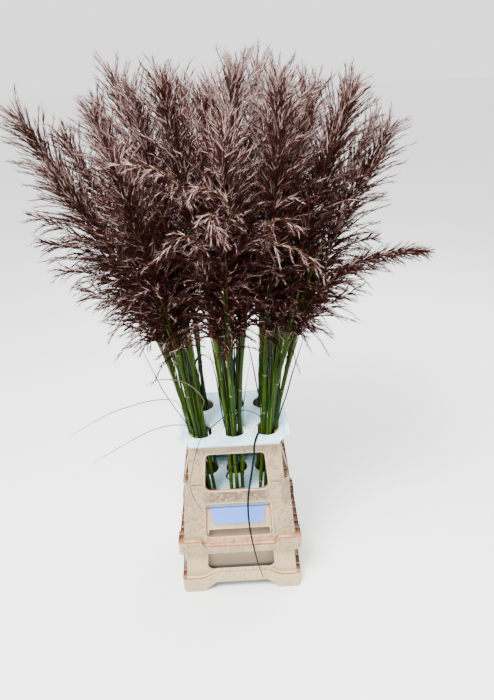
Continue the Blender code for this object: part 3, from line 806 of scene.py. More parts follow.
def culm_tree():
    """Geometry nodes: a tapering tube with a swollen ring at each node, and narrow blades along it."""
    tree, given, result = geometry_tree("Culm", (
        "Radius", "Taper", "Node Spacing", "Node Swell", "Blade Length", "Blade Width", "Blade Lean",
        "Blade Bow", "Blade Start", "Tone"), Seed="Int")
    get = given.outputs
    line = add(tree, "GeometryNodeMeshToCurve", {"Mesh": get["Geometry"]})
    fine = add(tree, "GeometryNodeResampleCurve", {"Curve": line, "Length": CULM_STEP}, mode="LENGTH")
    along = add(tree, "GeometryNodeSplineParameter")
    marked = stored(tree, fine, "along", along.outputs["Length"])
    thin = times(tree, get["Radius"], minus(tree, 1.0, times(tree, get["Taper"], along.outputs["Factor"])))
    wave = noise(tree, from_axes(tree, X=along.outputs["Length"], Y=get["Tone"]), 9.0)
    thick = times(tree, thin, spread_of(tree, wave, 0.3, 0.7, 0.9, 1.1))
    ring = add(tree, "GeometryNodeCurvePrimitiveCircle", {"Resolution": CULM_SIDES, "Radius": 1.0})
    ring = stored(tree, ring, "around", add(tree, "GeometryNodeSplineParameter").outputs["Factor"])
    skin = add(tree, "GeometryNodeCurveToMesh", {
        "Curve": marked, "Profile Curve": ring, "Scale": thick, "Fill Caps": True})
    smooth = add(tree, "GeometryNodeSetShadeSmooth", {"Geometry": skin})

    # A flattened bead at each node
    joints = points_along(tree, marked, get["Node Spacing"])
    bead = add(tree, "GeometryNodeMeshUVSphere", {"Segments": 8, "Rings": 5, "Radius": 1.0})
    bead = add(tree, "GeometryNodeTransform", {"Geometry": bead, "Scale": (1.0, 1.0, 0.45)})
    bead = add(tree, "GeometryNodeSetShadeSmooth", {"Geometry": bead})
    size = times(tree, times(tree, get["Radius"], get["Node Swell"]), chance(tree, 0.9, 1.08, 1))
    beads = copies(tree, joints, bead, upright(tree, joints), from_axes(tree, X=size, Y=size, Z=size))
    rings = stored(tree, beads, "joint", 1.0, "INSTANCE")

    # Narrow blades that leave the culm at its nodes and lie nearly along it
    blade = add(tree, "GeometryNodeMeshCone", {
        "Vertices": 4, "Side Segments": 4, "Radius Top": 0.25, "Radius Bottom": 1.0, "Depth": 1.0},
        fill_type="NGON")
    rise = position_axes(tree)["Z"]
    blade = stored(tree, blade, "along", times(tree, rise, 0.4))
    bow = times(tree, calc(tree, "POWER", rise, 2.0), get["Blade Bow"])
    blade = moved(tree, blade, from_axes(tree, Y=bow))
    feet = points_along(tree, marked, times(tree, get["Node Spacing"], 0.11))
    turned = leaning(tree, feet, times(tree, get["Blade Lean"], chance(tree, 0.5, 1.4, 2)),
                     chance(tree, 0.0, math.tau, 3))
    width = times(tree, get["Blade Width"], chance(tree, 0.35, 0.6, 4))
    length = times(tree, get["Blade Length"], chance(tree, 0.7, 1.2, 5))
    above = calc(tree, "GREATER_THAN", position_axes(tree)["Z"], get["Blade Start"])
    blades = copies(tree, feet, blade, turned, from_axes(tree, X=width, Y=SLIM_BLADE, Z=length), above)
    blades = stored(tree, blades, "tone", chance(tree, 0.0, 1.0, 6), "INSTANCE")
    smooth = stored(tree, smooth, "tone", get["Tone"])
    rings = stored(tree, rings, "tone", get["Tone"], "INSTANCE")
    return finish_tree(tree, given, result, [smooth, rings, blades])


def plume_tree():
    """Geometry nodes: a rachis, ascending side branches that droop, and spikelets along each."""
    tree, given, result = geometry_tree("Plume", (
        "Branch Length", "Spread", "Droop", "Wobble", "Spikelet Spacing", "Spikelet Length", "Spikelet Width",
        "Spikelet Angle", "Thickness", "Depth", "Reach", "Tone"), Branches="Int", Seed="Int")
    get = given.outputs
    line = add(tree, "GeometryNodeMeshToCurve", {"Mesh": get["Geometry"]})
    spine = stored(tree, line, "climb", add(tree, "GeometryNodeSplineParameter").outputs["Factor"])
    climb = recalled(tree, "climb")
    circle = add(tree, "GeometryNodeCurvePrimitiveCircle", {"Resolution": 3, "Radius": 1.0})
    core = add(tree, "GeometryNodeCurveToMesh", {
        "Curve": spine, "Profile Curve": circle, "Fill Caps": True,
        "Scale": times(tree, get["Thickness"], spread_of(tree, climb, 0, 1, 4.5, 1.0))})

    # Side branches: an arc of unit length, turned out from the rachis and scaled
    knots = add(tree, "GeometryNodeCurveToPoints", {"Curve": spine, "Count": get["Branches"]}, mode="COUNT")
    arc = add(tree, "GeometryNodeCurveQuadraticBezier", {
        "Resolution": 5, "Start": (0, 0, 0), "Middle": (0, -0.05, 0.5), "End": (0, -0.26, 0.95)})
    shape = add(tree, "ShaderNodeFloatCurve", {"Value": climb})
    curve = shape.mapping.curves[0]
    for place, value in ((0.15, 0.96), (0.4, 1.0), (0.75, 0.80)):
        curve.points.new(place, value)
    curve.points[0].location, curve.points[-1].location = (0.0, 0.78), (1.0, 0.40)
    shape.mapping.update()
    length = times(tree, times(tree, get["Branch Length"], shape), chance(tree, 0.7, 1.2, 1))
    tilt = times(tree, times(tree, get["Spread"], spread_of(tree, climb, 0, 1, 1.3, 0.3)),
                 chance(tree, 0.55, 1.35, 2))
    azimuth = plus(tree, times(tree, add(tree, "GeometryNodeInputIndex"), GOLDEN_ANGLE),
                   chance(tree, -0.6, 0.6, 3))
    branches = copies(tree, knots, arc, leaning(tree, knots, tilt, azimuth),
                      from_axes(tree, X=length, Y=length, Z=length))
    branches = stored(tree, branches, "shade", chance(tree, 0.0, 1.0, 4), "INSTANCE")
    branches = add(tree, "GeometryNodeRealizeInstances", {"Geometry": branches})
    branches = stored(tree, branches, "reach", add(tree, "GeometryNodeSplineParameter").outputs["Factor"])
    reach, shade = recalled(tree, "reach"), recalled(tree, "shade")
    span = add(tree, "GeometryNodeSplineLength").outputs["Length"]
    sag = times(tree, times(tree, calc(tree, "POWER", reach, 2.0), span),
                times(tree, get["Droop"], times(tree, spread_of(tree, climb, 0, 1, 1.5, 0.2),
                                                spread_of(tree, shade, 0, 1, 0.3, 1.7))))
    wander = noise(tree, add(tree, "GeometryNodeInputPosition"), 8.0, 1.0)
    drift = add(tree, "ShaderNodeVectorMath", {
        0: pick(wander.outputs, "Color"), 1: (0.5, 0.5, 0.5)}, operation="SUBTRACT")
    drift = add(tree, "ShaderNodeVectorMath", {
        0: drift, "Scale": times(tree, get["Wobble"], reach)}, operation="SCALE")
    shift = add(tree, "ShaderNodeVectorMath", {
        0: drift, 1: from_axes(tree, Z=times(tree, sag, -1.0))}, operation="ADD")
    branches = moved(tree, branches, shift)
    limbs = add(tree, "GeometryNodeCurveToMesh", {
        "Curve": branches, "Profile Curve": circle, "Fill Caps": True,
        "Scale": times(tree, get["Thickness"], spread_of(tree, reach, 0, 1, 1.0, 0.35))})

    # Spikelets: a slim spike of four faces, from its foot at 0 to its tip at 1
    spike = add(tree, "GeometryNodeMeshCone", {
        "Vertices": 3, "Radius Top": 0.0, "Radius Bottom": 1.0, "Depth": 1.0}, fill_type="NGON")
    spike = stored(tree, spike, "along", position_axes(tree)["Z"])
    seats = points_along(tree, branches, get["Spikelet Spacing"])
    turned = leaning(tree, seats, times(tree, get["Spikelet Angle"], chance(tree, 0.35, 1.6, 5)),
                     chance(tree, 0.0, math.tau, 6))
    long = times(tree, times(tree, get["Spikelet Length"], spread_of(tree, reach, 0.3, 1.0, 1.0, 0.6)),
                 chance(tree, 0.6, 1.3, 7))
    wide = times(tree, get["Spikelet Width"], chance(tree, 0.35, 0.65, 8))
    wide = times(tree, wide, times(tree, spread_of(tree, reach, 0.15, 0.6, 1.5, 0.75),
                                   spread_of(tree, climb, 0.0, 0.4, 1.4, 1.0)))
    hairs = copies(tree, seats, spike, turned, from_axes(tree, X=wide, Y=wide, Z=long),
                   calc(tree, "GREATER_THAN", reach, 0.07))
    hairs = stored(tree, hairs, "fleck", chance(tree, 0.0, 1.0, 9), "INSTANCE")
    hairs = stored(tree, hairs, "husk", 1.0, "INSTANCE")
    both = add(tree, "GeometryNodeJoinGeometry")
    for part in (core, limbs, hairs):
        tree.links.new(part.outputs[0], both.inputs[0])
    real = add(tree, "GeometryNodeRealizeInstances", {"Geometry": both})

    # The outermost spray is pressed in towards the given depth and reach
    placed = position_axes(tree)
    back = {}
    for axis, limit in (("X", "Reach"), ("Y", "Depth")):
        over = minus(tree, absolute(tree, placed[axis]), get[limit])
        back[axis] = times(tree, calc(tree, "MAXIMUM", over, 0.0),
                           times(tree, calc(tree, "SIGN", placed[axis]), -0.5))
    real = moved(tree, real, from_axes(tree, **back))
    return finish_tree(tree, given, result, [stored(tree, real, "tone", get["Tone"])])


def blade_tree():
    """Geometry nodes: a leaf blade with a folded section, wide in the middle and pointed."""
    tree, given, result = geometry_tree("Blade", ("Width",))
    get = given.outputs
    line = add(tree, "GeometryNodeMeshToCurve", {"Mesh": get["Geometry"]})
    line = add(tree, "GeometryNodeCurveSplineType", {"Curve": line}, spline_type="CATMULL_ROM")
    line = add(tree, "GeometryNodeResampleCurve", {"Curve": line, "Length": 0.009}, mode="LENGTH")
    factor = add(tree, "GeometryNodeSplineParameter").outputs["Factor"]
    line = stored(tree, line, "along", factor)
    swell = calc(tree, "SINE", times(tree, calc(tree, "POWER", factor, 0.6), math.pi))
    full = calc(tree, "POWER", calc(tree, "MAXIMUM", swell, 0.0), 0.7)
    section = add(tree, "GeometryNodeObjectInfo", {"Object": bpy.data.objects["blade_section"]},
                  transform_space="ORIGINAL")
    ring = add(tree, "GeometryNodeMeshToCurve", {"Mesh": section.outputs["Geometry"]})
    ring = stored(tree, ring, "around", add(tree, "GeometryNodeSplineParameter").outputs["Factor"])
    skin = add(tree, "GeometryNodeCurveToMesh", {
        "Curve": line, "Profile Curve": ring, "Fill Caps": True,
        "Scale": times(tree, get["Width"], spread_of(tree, full, 0, 1, 0.2, 0.5))})
    return finish_tree(tree, given, result, [add(tree, "GeometryNodeSetShadeSmooth", {"Geometry": skin})])


def rung_tree():
    """Geometry nodes: flat bars at even steps along paths."""
    tree, given, result = geometry_tree("Rungs", ("Spacing", "Follow"), Size="Vector")
    get = given.outputs
    line = add(tree, "GeometryNodeMeshToCurve", {"Mesh": get["Geometry"]})
    steps = points_along(tree, line, get["Spacing"])
    bar = add(tree, "GeometryNodeMeshCube", {"Size": get["Size"]})
    turned = add(tree, "FunctionNodeAlignRotationToVector", {
        "Vector": steps.outputs["Tangent"], "Factor": get["Follow"]}, axis="X", pivot_axis="Z")
    bars = copies(tree, steps, bar, turned)
    return finish_tree(tree, given, result, [bars])


# ------------------------------------------------------------
# Finishes

def plastic_finish(name, colour, ledge, stain, soiled):
    """Moulded crate plastic: uneven tone, grime in streaks and specks, warm ledges, stains, painted shade."""
    material, tree, shader, place = new_material(name, Roughness=0.5)
    axes = axes_of(tree, place)
    tone = spread_of(tree, noise(tree, place, 7.0, 4.0), 0.3, 0.7)
    base = mixed(tree, tone, toned(colour, 0.84), toned(colour, 1.10))

    # The ledge that light comes through, redder at its ends
    across, deep = (absolute(tree, axes[axis]) for axis in "XY")
    rim = calc(tree, "MAXIMUM", calc(tree, "DIVIDE", across, FOOT_HALF[0] - GUTTER[0]),
               calc(tree, "DIVIDE", deep, FOOT_HALF[1] - GUTTER[0]))
    band = times(tree, within(tree, axes["Z"], *LEDGE_BAND), spread_of(tree, rim, 1.0, 0.996))
    corner = spread_of(tree, across, 0.120, 0.165)
    warm = mixed(tree, corner, ledge, (ledge[0], ledge[1] * 0.82, ledge[2] * 0.62, 1))
    base = mixed(tree, times(tree, band, 0.85), base, warm)

    # Grime in streaks, specks and clouds
    streak = spread_of(tree, noise(tree, stretched(tree, place, (90, 90, 14)), 1.0, 4.0), 0.56, 0.78)
    speck = spread_of(tree, noise(tree, place, 260.0, 2.0), 0.66, 0.74)
    cloud = spread_of(tree, noise(tree, place, 75.0, 4.0), 0.50, 0.70)
    grime = plus(tree, times(tree, speck, 0.5), times(tree, cloud, 0.42))
    grime = plus(tree, times(tree, streak, 0.36), grime)
    grime = calc(tree, "MINIMUM", times(tree, grime, soiled), 0.62)
    base = mixed(tree, grime, base, (0.15, 0.105, 0.065, 1))

    # Old glue, cracked, between the windows of the front
    patch = times(tree, within(tree, axes["Z"], *STAIN_BAND), spread_of(tree, axes["Y"], -0.120, -0.128))
    patch = times(tree, patch, spread_of(tree, across, 0.112, 0.080))
    glue = noise(tree, stretched(tree, place, (20, 20, 34)), 1.0, 6.0, Distortion=2.6)
    crackle = spread_of(tree, absolute(tree, minus(tree, glue, 0.49)), 0.028, 0.008, 0.0, 1.0)
    smear = calc(tree, "MINIMUM", plus(tree, spread_of(tree, glue, 0.49, 0.53, 0.16, 0.62), crackle), 0.92)
    base = mixed(tree, times(tree, patch, smear), base, stain)

    # Painted shade on the walls inside, on the reddish chamfers, and in the creases
    faces = normal_axes(tree)
    outward = plus(tree, times(tree, faces["X"], axes["X"]), times(tree, faces["Y"], axes["Y"]))
    # Painted shade: faces that look in towards the middle are darkened
    base = mixed(tree, spread_of(tree, outward, -0.03, -0.09, 0.0, 0.75), base, (0.055, 0.032, 0.018, 1))
    # Painted shade on the chamfer facets, the faces that turn off both axes, above the square lower corners
    facet_shade = absolute(tree, times(tree, faces["X"], faces["Y"]))
    facet_shade = times(tree, spread_of(tree, facet_shade, 0.42, 0.48), spread_of(tree, axes["Z"], 0.33, 0.34))
    base = mixed(tree, times(tree, facet_shade, 0.42), base, (0.19, 0.105, 0.065, 1))
    # Painted shade in creases and corners, found from how much of the nearby surface hides each point
    crease = add(tree, "ShaderNodeAmbientOcclusion", {"Distance": 0.010}, only_local=True, samples=6)
    crease = crease.outputs["AO"]
    base = mixed(tree, spread_of(tree, crease, 0.86, 0.42, 0.0, 0.75), base, (0.13, 0.065, 0.032, 1))
    rough = spread_of(tree, noise(tree, place, 40.0), 0.3, 0.7, 0.42, 0.60)
    finish_material(tree, shader, base, rough, noise(tree, place, 320.0, 2.0), 0.12, 0.0006)
    return material


def lip_finish(colour):
    """The rounded edges of the windows: thin plastic that light warms, with painted shade on their
    undersides.
    """
    material, tree, shader, place = new_material("lip_plastic", Roughness=0.45)
    tone = spread_of(tree, noise(tree, place, 40.0, 4.0), 0.35, 0.65)
    base = mixed(tree, tone, toned(colour, 0.72), colour)
    # Painted shade on the faces that look down
    under = spread_of(tree, normal_axes(tree)["Z"], -0.1, -0.7, 0.0, 0.8)
    base = mixed(tree, under, base, (0.16, 0.07, 0.03, 1))
    finish_material(tree, shader, base, None, noise(tree, place, 300.0), 0.1, 0.0006)
    return material


def pocket_shade_finish(colour):
    """Painted shade of the plastic deep in its gutters and cells, warmer with painted light to front and
    back.
    """
    material, tree, shader, place = new_material("pocket_plastic", Roughness=0.5)
    tone = spread_of(tree, noise(tree, place, 55.0, 3.0), 0.35, 0.65)
    deep = absolute(tree, axes_of(tree, place)["Y"])
    base = mixed(tree, tone, toned(colour, 0.3), colour)
    # Painted warm light coming through the plastic, towards the front and the back
    base = mixed(tree, spread_of(tree, deep, 0.112, 0.134, 0.0, 0.8), base, (0.36, 0.135, 0.05, 1))
    finish_material(tree, shader, base, None, noise(tree, place, 300.0), 0.1, 0.0006)
    return material


def bucket_finish(colour):
    """Smooth grey-beige plastic with faint runs of water marks, and a painted shadow low down."""
    material, tree, shader, place = new_material("bucket_wall", Roughness=0.38, Specular_IOR_Level=0.25)
    tone = spread_of(tree, noise(tree, stretched(tree, place, (9, 9, 3)), 1.0, 4.0), 0.3, 0.7)
    base = mixed(tree, tone, toned(colour, 0.88), colour)
    marks = spread_of(tree, noise(tree, stretched(tree, place, (70, 70, 8)), 1.0, 4.0), 0.60, 0.75)
    base = mixed(tree, times(tree, marks, 0.25), base, (0.62, 0.58, 0.52, 1))
    level = axes_of(tree, place)["Z"]
    # Painted shadow: nearly black low down, just above the bucket's foot
    base = mixed(tree, spread_of(tree, level, 0.078, 0.064, 0.0, 0.95), base, (0.012, 0.009, 0.007, 1))
    finish_material(tree, shader, base, spread_of(tree, marks, 0, 1, 0.34, 0.55),
                    noise(tree, place, 240.0), 0.06, 0.0005)
    return material


def metal_finish(colour):
    """Zinc coated sheet: mottled, dull where it has weathered, with painted highlights and painted shade."""
    material, tree, shader, place = new_material("zinc_sheet", Metallic=0.1, Specular_IOR_Level=0.3)
    cloud = noise(tree, place, 34.0, 5.0, Distortion=0.6)
    spangle = add(tree, "ShaderNodeTexVoronoi", {"Vector": place, "Scale": 120.0})
    tone = plus(tree, times(tree, spread_of(tree, cloud, 0.35, 0.65), 0.7),
                times(tree, spread_of(tree, spangle.outputs["Distance"], 0.1, 0.7), 0.3))
    base = mixed(tree, tone, toned(colour, 0.90), toned(colour, 1.16))
    scuff = spread_of(tree, noise(tree, stretched(tree, place, (60, 300, 60)), 1.0, 3.0), 0.60, 0.68)
    base = mixed(tree, times(tree, scuff, 0.5), base, (0.84, 0.96, 1.0, 1))

    # Painted highlights on the rims round the holes, and a darker ring round each
    axes = axes_of(tree, place)
    pitch = HOLE_COLUMNS[2]
    across = calc(tree, "PINGPONG", plus(tree, axes["X"], pitch * 4), pitch / 2)
    deep = minus(tree, absolute(tree, axes["Y"]), HOLE_ROW)
    away = calc(tree, "SQRT", plus(tree, calc(tree, "POWER", across, 2.0), times(tree, deep, deep)))
    rim_highlight = times(tree, spread_of(tree, away, HOLE_RADIUS + 0.0075, HOLE_RADIUS + 0.0035),
                 spread_of(tree, cloud, 0.42, 0.55))
    base = mixed(tree, times(tree, rim_highlight, 0.9), base, (1.0, 1.0, 1.0, 1))
    dull = within(tree, away, (HOLE_RADIUS + 0.0165, HOLE_RADIUS + 0.0075),
                  (HOLE_RADIUS + 0.0050, HOLE_RADIUS + 0.0075))
    base = mixed(tree, times(tree, dull, 0.40), base, (0.36, 0.56, 0.74, 1))

    # Painted shade along the line of the side folds, on the bent edges, and under the upper plate's edge
    # Painted shade: a darker line along each side fold
    fold = absolute(tree, minus(tree, absolute(tree, axes["X"]), UPPER_PLATE[0][0] - FOLD_WIDTH - 0.0005))
    base = mixed(tree, spread_of(tree, fold, 0.0024, 0.0006, 0.0, 0.75), base, (0.34, 0.47, 0.60, 1))
    # Painted shade on the bent edges that face front or back, more so low down
    folded = times(tree, spread_of(tree, absolute(tree, normal_axes(tree)["Y"]), 0.3, 0.7, 0.0, 0.85),
                   spread_of(tree, axes["Z"], 0.45, 0.40, 0.55, 1.0))
    base = mixed(tree, folded, base, (0.13, 0.19, 0.28, 1))
    # Painted shade on the lower plate's front lip
    hood_shade = times(tree, spread_of(tree, axes["Z"], 0.42, 0.40), spread_of(tree, axes["Y"], -0.112, -0.122))
    base = mixed(tree, times(tree, hood_shade, 0.85), base, (0.15, 0.21, 0.27, 1))
    # Painted shadow: a nearly black line along the foot of that lip
    under = times(tree, hood_shade, spread_of(tree, axes["Z"], LOWER_PLATE[1] + 0.0065, LOWER_PLATE[1] + 0.0030))
    base = mixed(tree, times(tree, under, 0.9), base, (0.012, 0.015, 0.018, 1))
    finish_material(tree, shader, base, spread_of(tree, cloud, 0.3, 0.7, 0.30, 0.52), cloud, 0.15, 0.0012)
    return material


def card_finish(colour):
    """Thin pale card with a faint fibre."""
    material, tree, shader, place = new_material("label_stock", Roughness=0.75, Specular_IOR_Level=0.15)
    fibre = noise(tree, stretched(tree, place, (500, 500, 1400)), 1.0, 3.0)
    base = mixed(tree, spread_of(tree, fibre, 0.3, 0.7), toned(colour, 0.95), colour)
    finish_material(tree, shader, base, None, fibre, 0.08, 0.0003)
    return material


def culm_finish(young, old):
    """Grass culm: fine lengthwise streaks, light ones partly painted highlights, a tone for each culm, pale
    nodes.
    """
    material, tree, shader, place = new_material("green_culm", Roughness=0.36, Specular_IOR_Level=0.05)
    along, around, tone, joint = (attribute(tree, name) for name in ("along", "around", "tone", "joint"))
    skin = ramp(tree, tone, ((0.0, old), (0.35, between(old, young, 0.35)), (0.72, young),
                             (0.86, (0.070, 0.095, 0.010)), (1.0, (0.004, 0.024, 0.016))))
    turn = times(tree, calc(tree, "PINGPONG", around, 0.5), 24.0)
    where = from_axes(tree, X=turn, Y=times(tree, along, 2.4), Z=times(tree, tone, 31.0))
    fine = noise(tree, where, 1.0, 4.0)
    # Fine lengthwise streaks: light ones, partly real and partly painted highlights, then dark ones
    base = mixed(tree, spread_of(tree, fine, 0.52, 0.74, 0.0, 0.60), skin, (0.11, 0.14, 0.02, 1))
    base = mixed(tree, spread_of(tree, fine, 0.48, 0.30, 0.0, 0.85), base, (0.003, 0.010, 0.002, 1))
    patch = spread_of(tree, noise(tree, from_axes(tree, Y=along, Z=tone), 6.0, 2.0), 0.5, 0.7)
    base = mixed(tree, times(tree, patch, 0.45), base, (0.010, 0.024, 0.004, 1))
    base = mixed(tree, times(tree, joint, 0.5), base, (0.22, 0.25, 0.12, 1))
    finish_material(tree, shader, base, spread_of(tree, fine, 0.3, 0.7, 0.30, 0.50), fine, 0.35, 0.0008)
    return material


def plume_finish(deep, middle, pale, rind):
    """Spikelets: painted shade at the heart of the plume, silky and paler with painted light towards its ends
    and top.
    """
    material, tree, shader, place = new_material("plume_silk", Roughness=0.6, Specular_IOR_Level=0.04)
    climb, reach, shade, fleck, along, husk, tone = (
        attribute(tree, name) for name in ("climb", "reach", "shade", "fleck", "along", "husk", "tone"))

    # Painted light and shade: paler high up, up each plume and out along its branches, darker at the heart
    # and low down; the tones of branches and plumes also vary at random
    level = axes_of(tree, place)["Z"]
    total = times(tree, reach, 0.22)
    for value, weight in ((along, 0.10), (climb, 0.20), (spread_of(tree, level, 1.22, 1.60), 0.40),
                          (minus(tree, shade, 0.5), 0.22), (spread_of(tree, shade, 0.95, 0.97), 0.32),
                          (minus(tree, tone, 0.5), 0.24)):
        total = plus(tree, total, times(tree, value, weight))
    body = ramp(tree, plus(tree, total, times(tree, minus(tree, fleck, 0.5), 0.30)), (
        (0.10, deep), (0.42, between(deep, middle, 0.6)), (0.66, middle), (1.0, between(middle, pale, 0.45))))
    # Pale silver strokes, partly pale hairs and partly painted highlights, more of them where the painted
    # light is strong
    pale_hair_and_highlight = plus(tree, fleck, spread_of(tree, total, 0.24, 0.98, 0.03, 0.46))
    silk = mixed(tree, times(tree, spread_of(tree, pale_hair_and_highlight, 0.92, 1.06), 0.85), body, (*pale, 1))
    wood = mixed(tree, spread_of(tree, noise(tree, place, 60.0), 0.35, 0.65), toned(rind, 0.5), rind)
    wood = mixed(tree, spread_of(tree, shade, 0.35, 0.75), wood, (*middle[:3], 1))
    base = mixed(tree, husk, wood, silk)
    finish_material(tree, shader, base)
    return material


def leaf_finish(name, colour, vein):
    """A long leaf blade: parallel veins, a paler midrib and a dry tip."""
    material, tree, shader, place = new_material(name, Roughness=0.5, Specular_IOR_Level=0.03)
    along, around = attribute(tree, "along"), attribute(tree, "around")
    veins = noise(tree, from_axes(tree, X=times(tree, around, 40.0), Y=times(tree, along, 5.0)), 1.0, 3.0)
    base = mixed(tree, spread_of(tree, veins, 0.35, 0.7), colour, vein)
    base = mixed(tree, spread_of(tree, along, 0.86, 1.0, 0.0, 0.7), base, (0.10, 0.075, 0.04, 1))
    finish_material(tree, shader, base, spread_of(tree, veins, 0.3, 0.7, 0.34, 0.5), veins, 0.3, 0.0005)
    return material


def floor_finish(colour):
    """A plain pale floor."""
    material, tree, shader, place = new_material("floor", Roughness=0.8)
    soft = spread_of(tree, noise(tree, place, 1.5, 2.0), 0.3, 0.7)
    finish_material(tree, shader, mixed(tree, soft, toned(colour, 0.99), colour))
    return material


# ------------------------------------------------------------
# Settings that a user would change

def metres(label, text, default):
    """A length in metres."""
    return FloatProperty(name=label, description=text, default=default, unit="LENGTH", min=0.0, precision=4)


def amount(label, text, default):
    """A plain number from nothing upwards."""
    return FloatProperty(name=label, description=text, default=default, min=0.0)


def turned_by(label, text, default):
    """An angle given in degrees."""
    return FloatProperty(name=label, description=text, default=math.radians(default), subtype="ANGLE")


def count(label, text, default):
    """A whole number from one upwards."""
    return IntProperty(name=label, description=text, default=default, min=1)


def tint(label, text, default):
    """A colour."""
    return FloatVectorProperty(name=label, description=text, default=(*default, 1.0), size=4, subtype="COLOR",
                               min=0.0, max=1.0)


class HolderSettings(bpy.types.PropertyGroup):
    """Plastic frames and bucket."""
    plastic: tint("Plastic", "Colour of both frames", (0.345, 0.252, 0.132))
    ledge: tint("Ledge", "Warm colour of the lit ledge above the upper skirt", (0.50, 0.27, 0.135))
    stain: tint("Stain", "Old glue and dirt between the front windows", (0.042, 0.021, 0.008))
    lip_tone: tint("Lip", "Warm colour of the windows' rounded edges", (0.56, 0.39, 0.275))
    # Painted shade deep in the gutters and cells
    pocket: tint("Pocket", "Colour deep in the gutters and cells", (0.115, 0.040, 0.012))
    bucket: tint("Bucket", "Colour of the water bucket", (0.365, 0.268, 0.174))
    lip: metres("Window lip", "Radius of the rounded lip round each window", 0.0029)
    rung: metres("Rib thickness", "Thickness of the ribs across the gutters", 0.0020)
    cell_spacing: metres("Cell spacing", "Distance between the ribs on the short sides", 0.031)
    gutter_spacing: metres("Gutter rib spacing", "Distance between the ribs in the skirt's gutter", 0.036)


class PlateSettings(bpy.types.PropertyGroup):
    """Sheet metal plates."""
    metal: tint("Metal", "Colour of the zinc coated sheet", (0.56, 0.83, 1.0))
    collar: metres("Collar", "How far the drawn collar of each hole reaches down", 0.007)
    collar_bend: metres("Collar bend", "Radius of the bend into each collar", 0.004)
    fold: metres("Side fold", "How far the side edges are bent down", 0.0025)


class StemSettings(bpy.types.PropertyGroup):
    """Green culms."""
    young: tint("Young culm", "Bright yellow-green of the younger culms", (0.029, 0.067, 0.0036))
    old: tint("Old culm", "Deep green of the older culms", (0.002, 0.011, 0.001))
    radius: metres("Radius", "Radius of a culm at its foot", CULM_RADIUS * 1.05)
    taper: amount("Taper", "Share of its radius that a culm loses up to its plume", 0.12)
    spacing: metres("Node spacing", "Distance between a culm's nodes", 0.150)
    swell: amount("Node swell", "Radius of a node against the culm's", 1.12)
    blade_length: metres("Blade length", "Length of the narrow blades that lie along the culms", 0.24)
    blade_width: metres("Blade width", "Width of those blades at their foot", 0.0112)
    blade_lean: turned_by("Blade lean", "How far those blades turn away from the culm", 4.5)
    blade_bow: amount("Blade bow", "How far those blades bend back, in widths of their thin side", 6.0)


class PlumeSettings(bpy.types.PropertyGroup):
    """Plumes."""
    branches: count("Branches", "Side branches of each plume", 160)
    branch_length: metres("Branch length", "Length of the longest side branches", 0.185)
    spray: amount("Spray", "Length of the drooping spray's branches, against the others'", 0.52)
    spread: turned_by("Spread", "How far the branches turn out from the rachis", 27.0)
    droop: amount("Droop", "How much the branches sag, against their length", 0.22)
    wobble: metres("Wobble", "How far the branches' ends wander", 0.032)
    spacing: metres("Spikelet spacing", "Distance between spikelets along a branch", 0.00306)
    length: metres("Spikelet length", "Length of the longest spikelets", 0.029)
    width: metres("Spikelet width", "Width of a spikelet", 0.0022)
    angle: turned_by("Spikelet angle", "How far the spikelets stand off their branch", 17.0)
    depth: metres("Depth", "Half depth past which the outer spray is pressed in", 0.30)
    reach: metres("Reach", "Half width past which the outer spray is pressed in", 0.485)
    thickness: metres("Branch thickness", "Radius of a side branch at its foot", 0.0007)
    tassel_branches: count("Tassel branches", "Side branches of each tassel", 26)
    tassel_length: metres("Tassel branch length", "Length of a tassel's side branches", 0.042)
    tassel_tone: amount("Tassel tone", "How pale the tassels are", 1.15)
    # The plume's colours run from deep to pale with painted light and shade
    deep: tint("Deep", "Colour at the heart of a plume", (0.0165, 0.0030, 0.0021))
    middle: tint("Middle", "Colour of most spikelets", (0.041, 0.0130, 0.0100))
    pale: tint("Pale", "Silky colour of the outer ends", (0.40, 0.284, 0.266))
    rind: tint("Rachis", "Colour of the rachis and branches", (0.085, 0.070, 0.016))


class LeafSettings(bpy.types.PropertyGroup):
    """Loose leaf blades and the label card."""
    blue: tint("Blue-green", "Colour of the fresh blades", (0.0015, 0.006, 0.005))
    dark: tint("Dark green", "Colour of the dark blades", (0.003, 0.009, 0.003))
    dry: tint("Dry", "Colour of the dry blades", (0.04, 0.034, 0.018))
    thickness: metres("Thickness", "Thickness of a blade", 0.0034)
    card: tint("Card", "Colour of the blank label card", (0.118, 0.228, 0.74))


class StageSettings(bpy.types.PropertyGroup):
    """Floor, light and camera."""
    floor: tint("Floor", "Colour of the floor", (0.94, 0.94, 0.94))
    sky: amount("Sky", "Strength of the even light", 1.85)
    key: amount("Key light", "Power of the large light in front, in watts", 500.0)
    back: amount("Back light", "Power of the large light behind, in watts", 110.0)
    lens: FloatProperty(name="Lens", description="Focal length for a 36 mm long side", default=CAMERA_LENS,
                        unit="CAMERA")


# ------------------------------------------------------------
# Parts of the holder

def wall_half(levels, height):
    """Half sizes of a tapering wall at a height, from its (height, half) levels."""
    for (low, half_low), (high, half_high) in zip(levels, levels[1:]):
        if height <= high or high == levels[-1][0]:
            part = (height - low) / (high - low)
            return tuple(mix(a, b, part) for a, b in zip(half_low, half_high))


def wall_ring(levels, corners, material, name):
    """A closed wall through (height, half) levels, with a chamfer of its own at each."""
    rows = list(zip(levels, corners))
    outer = [rounded_outline(half, corner, height, steps=1) for (height, half), corner in rows]
    inner = [rounded_outline(inset(half, WALL), corner, height, steps=1)
             for (height, half), corner in reversed(rows)]
    return mesh_from(name, lambda shape: loft(shape, outer + inner), material)


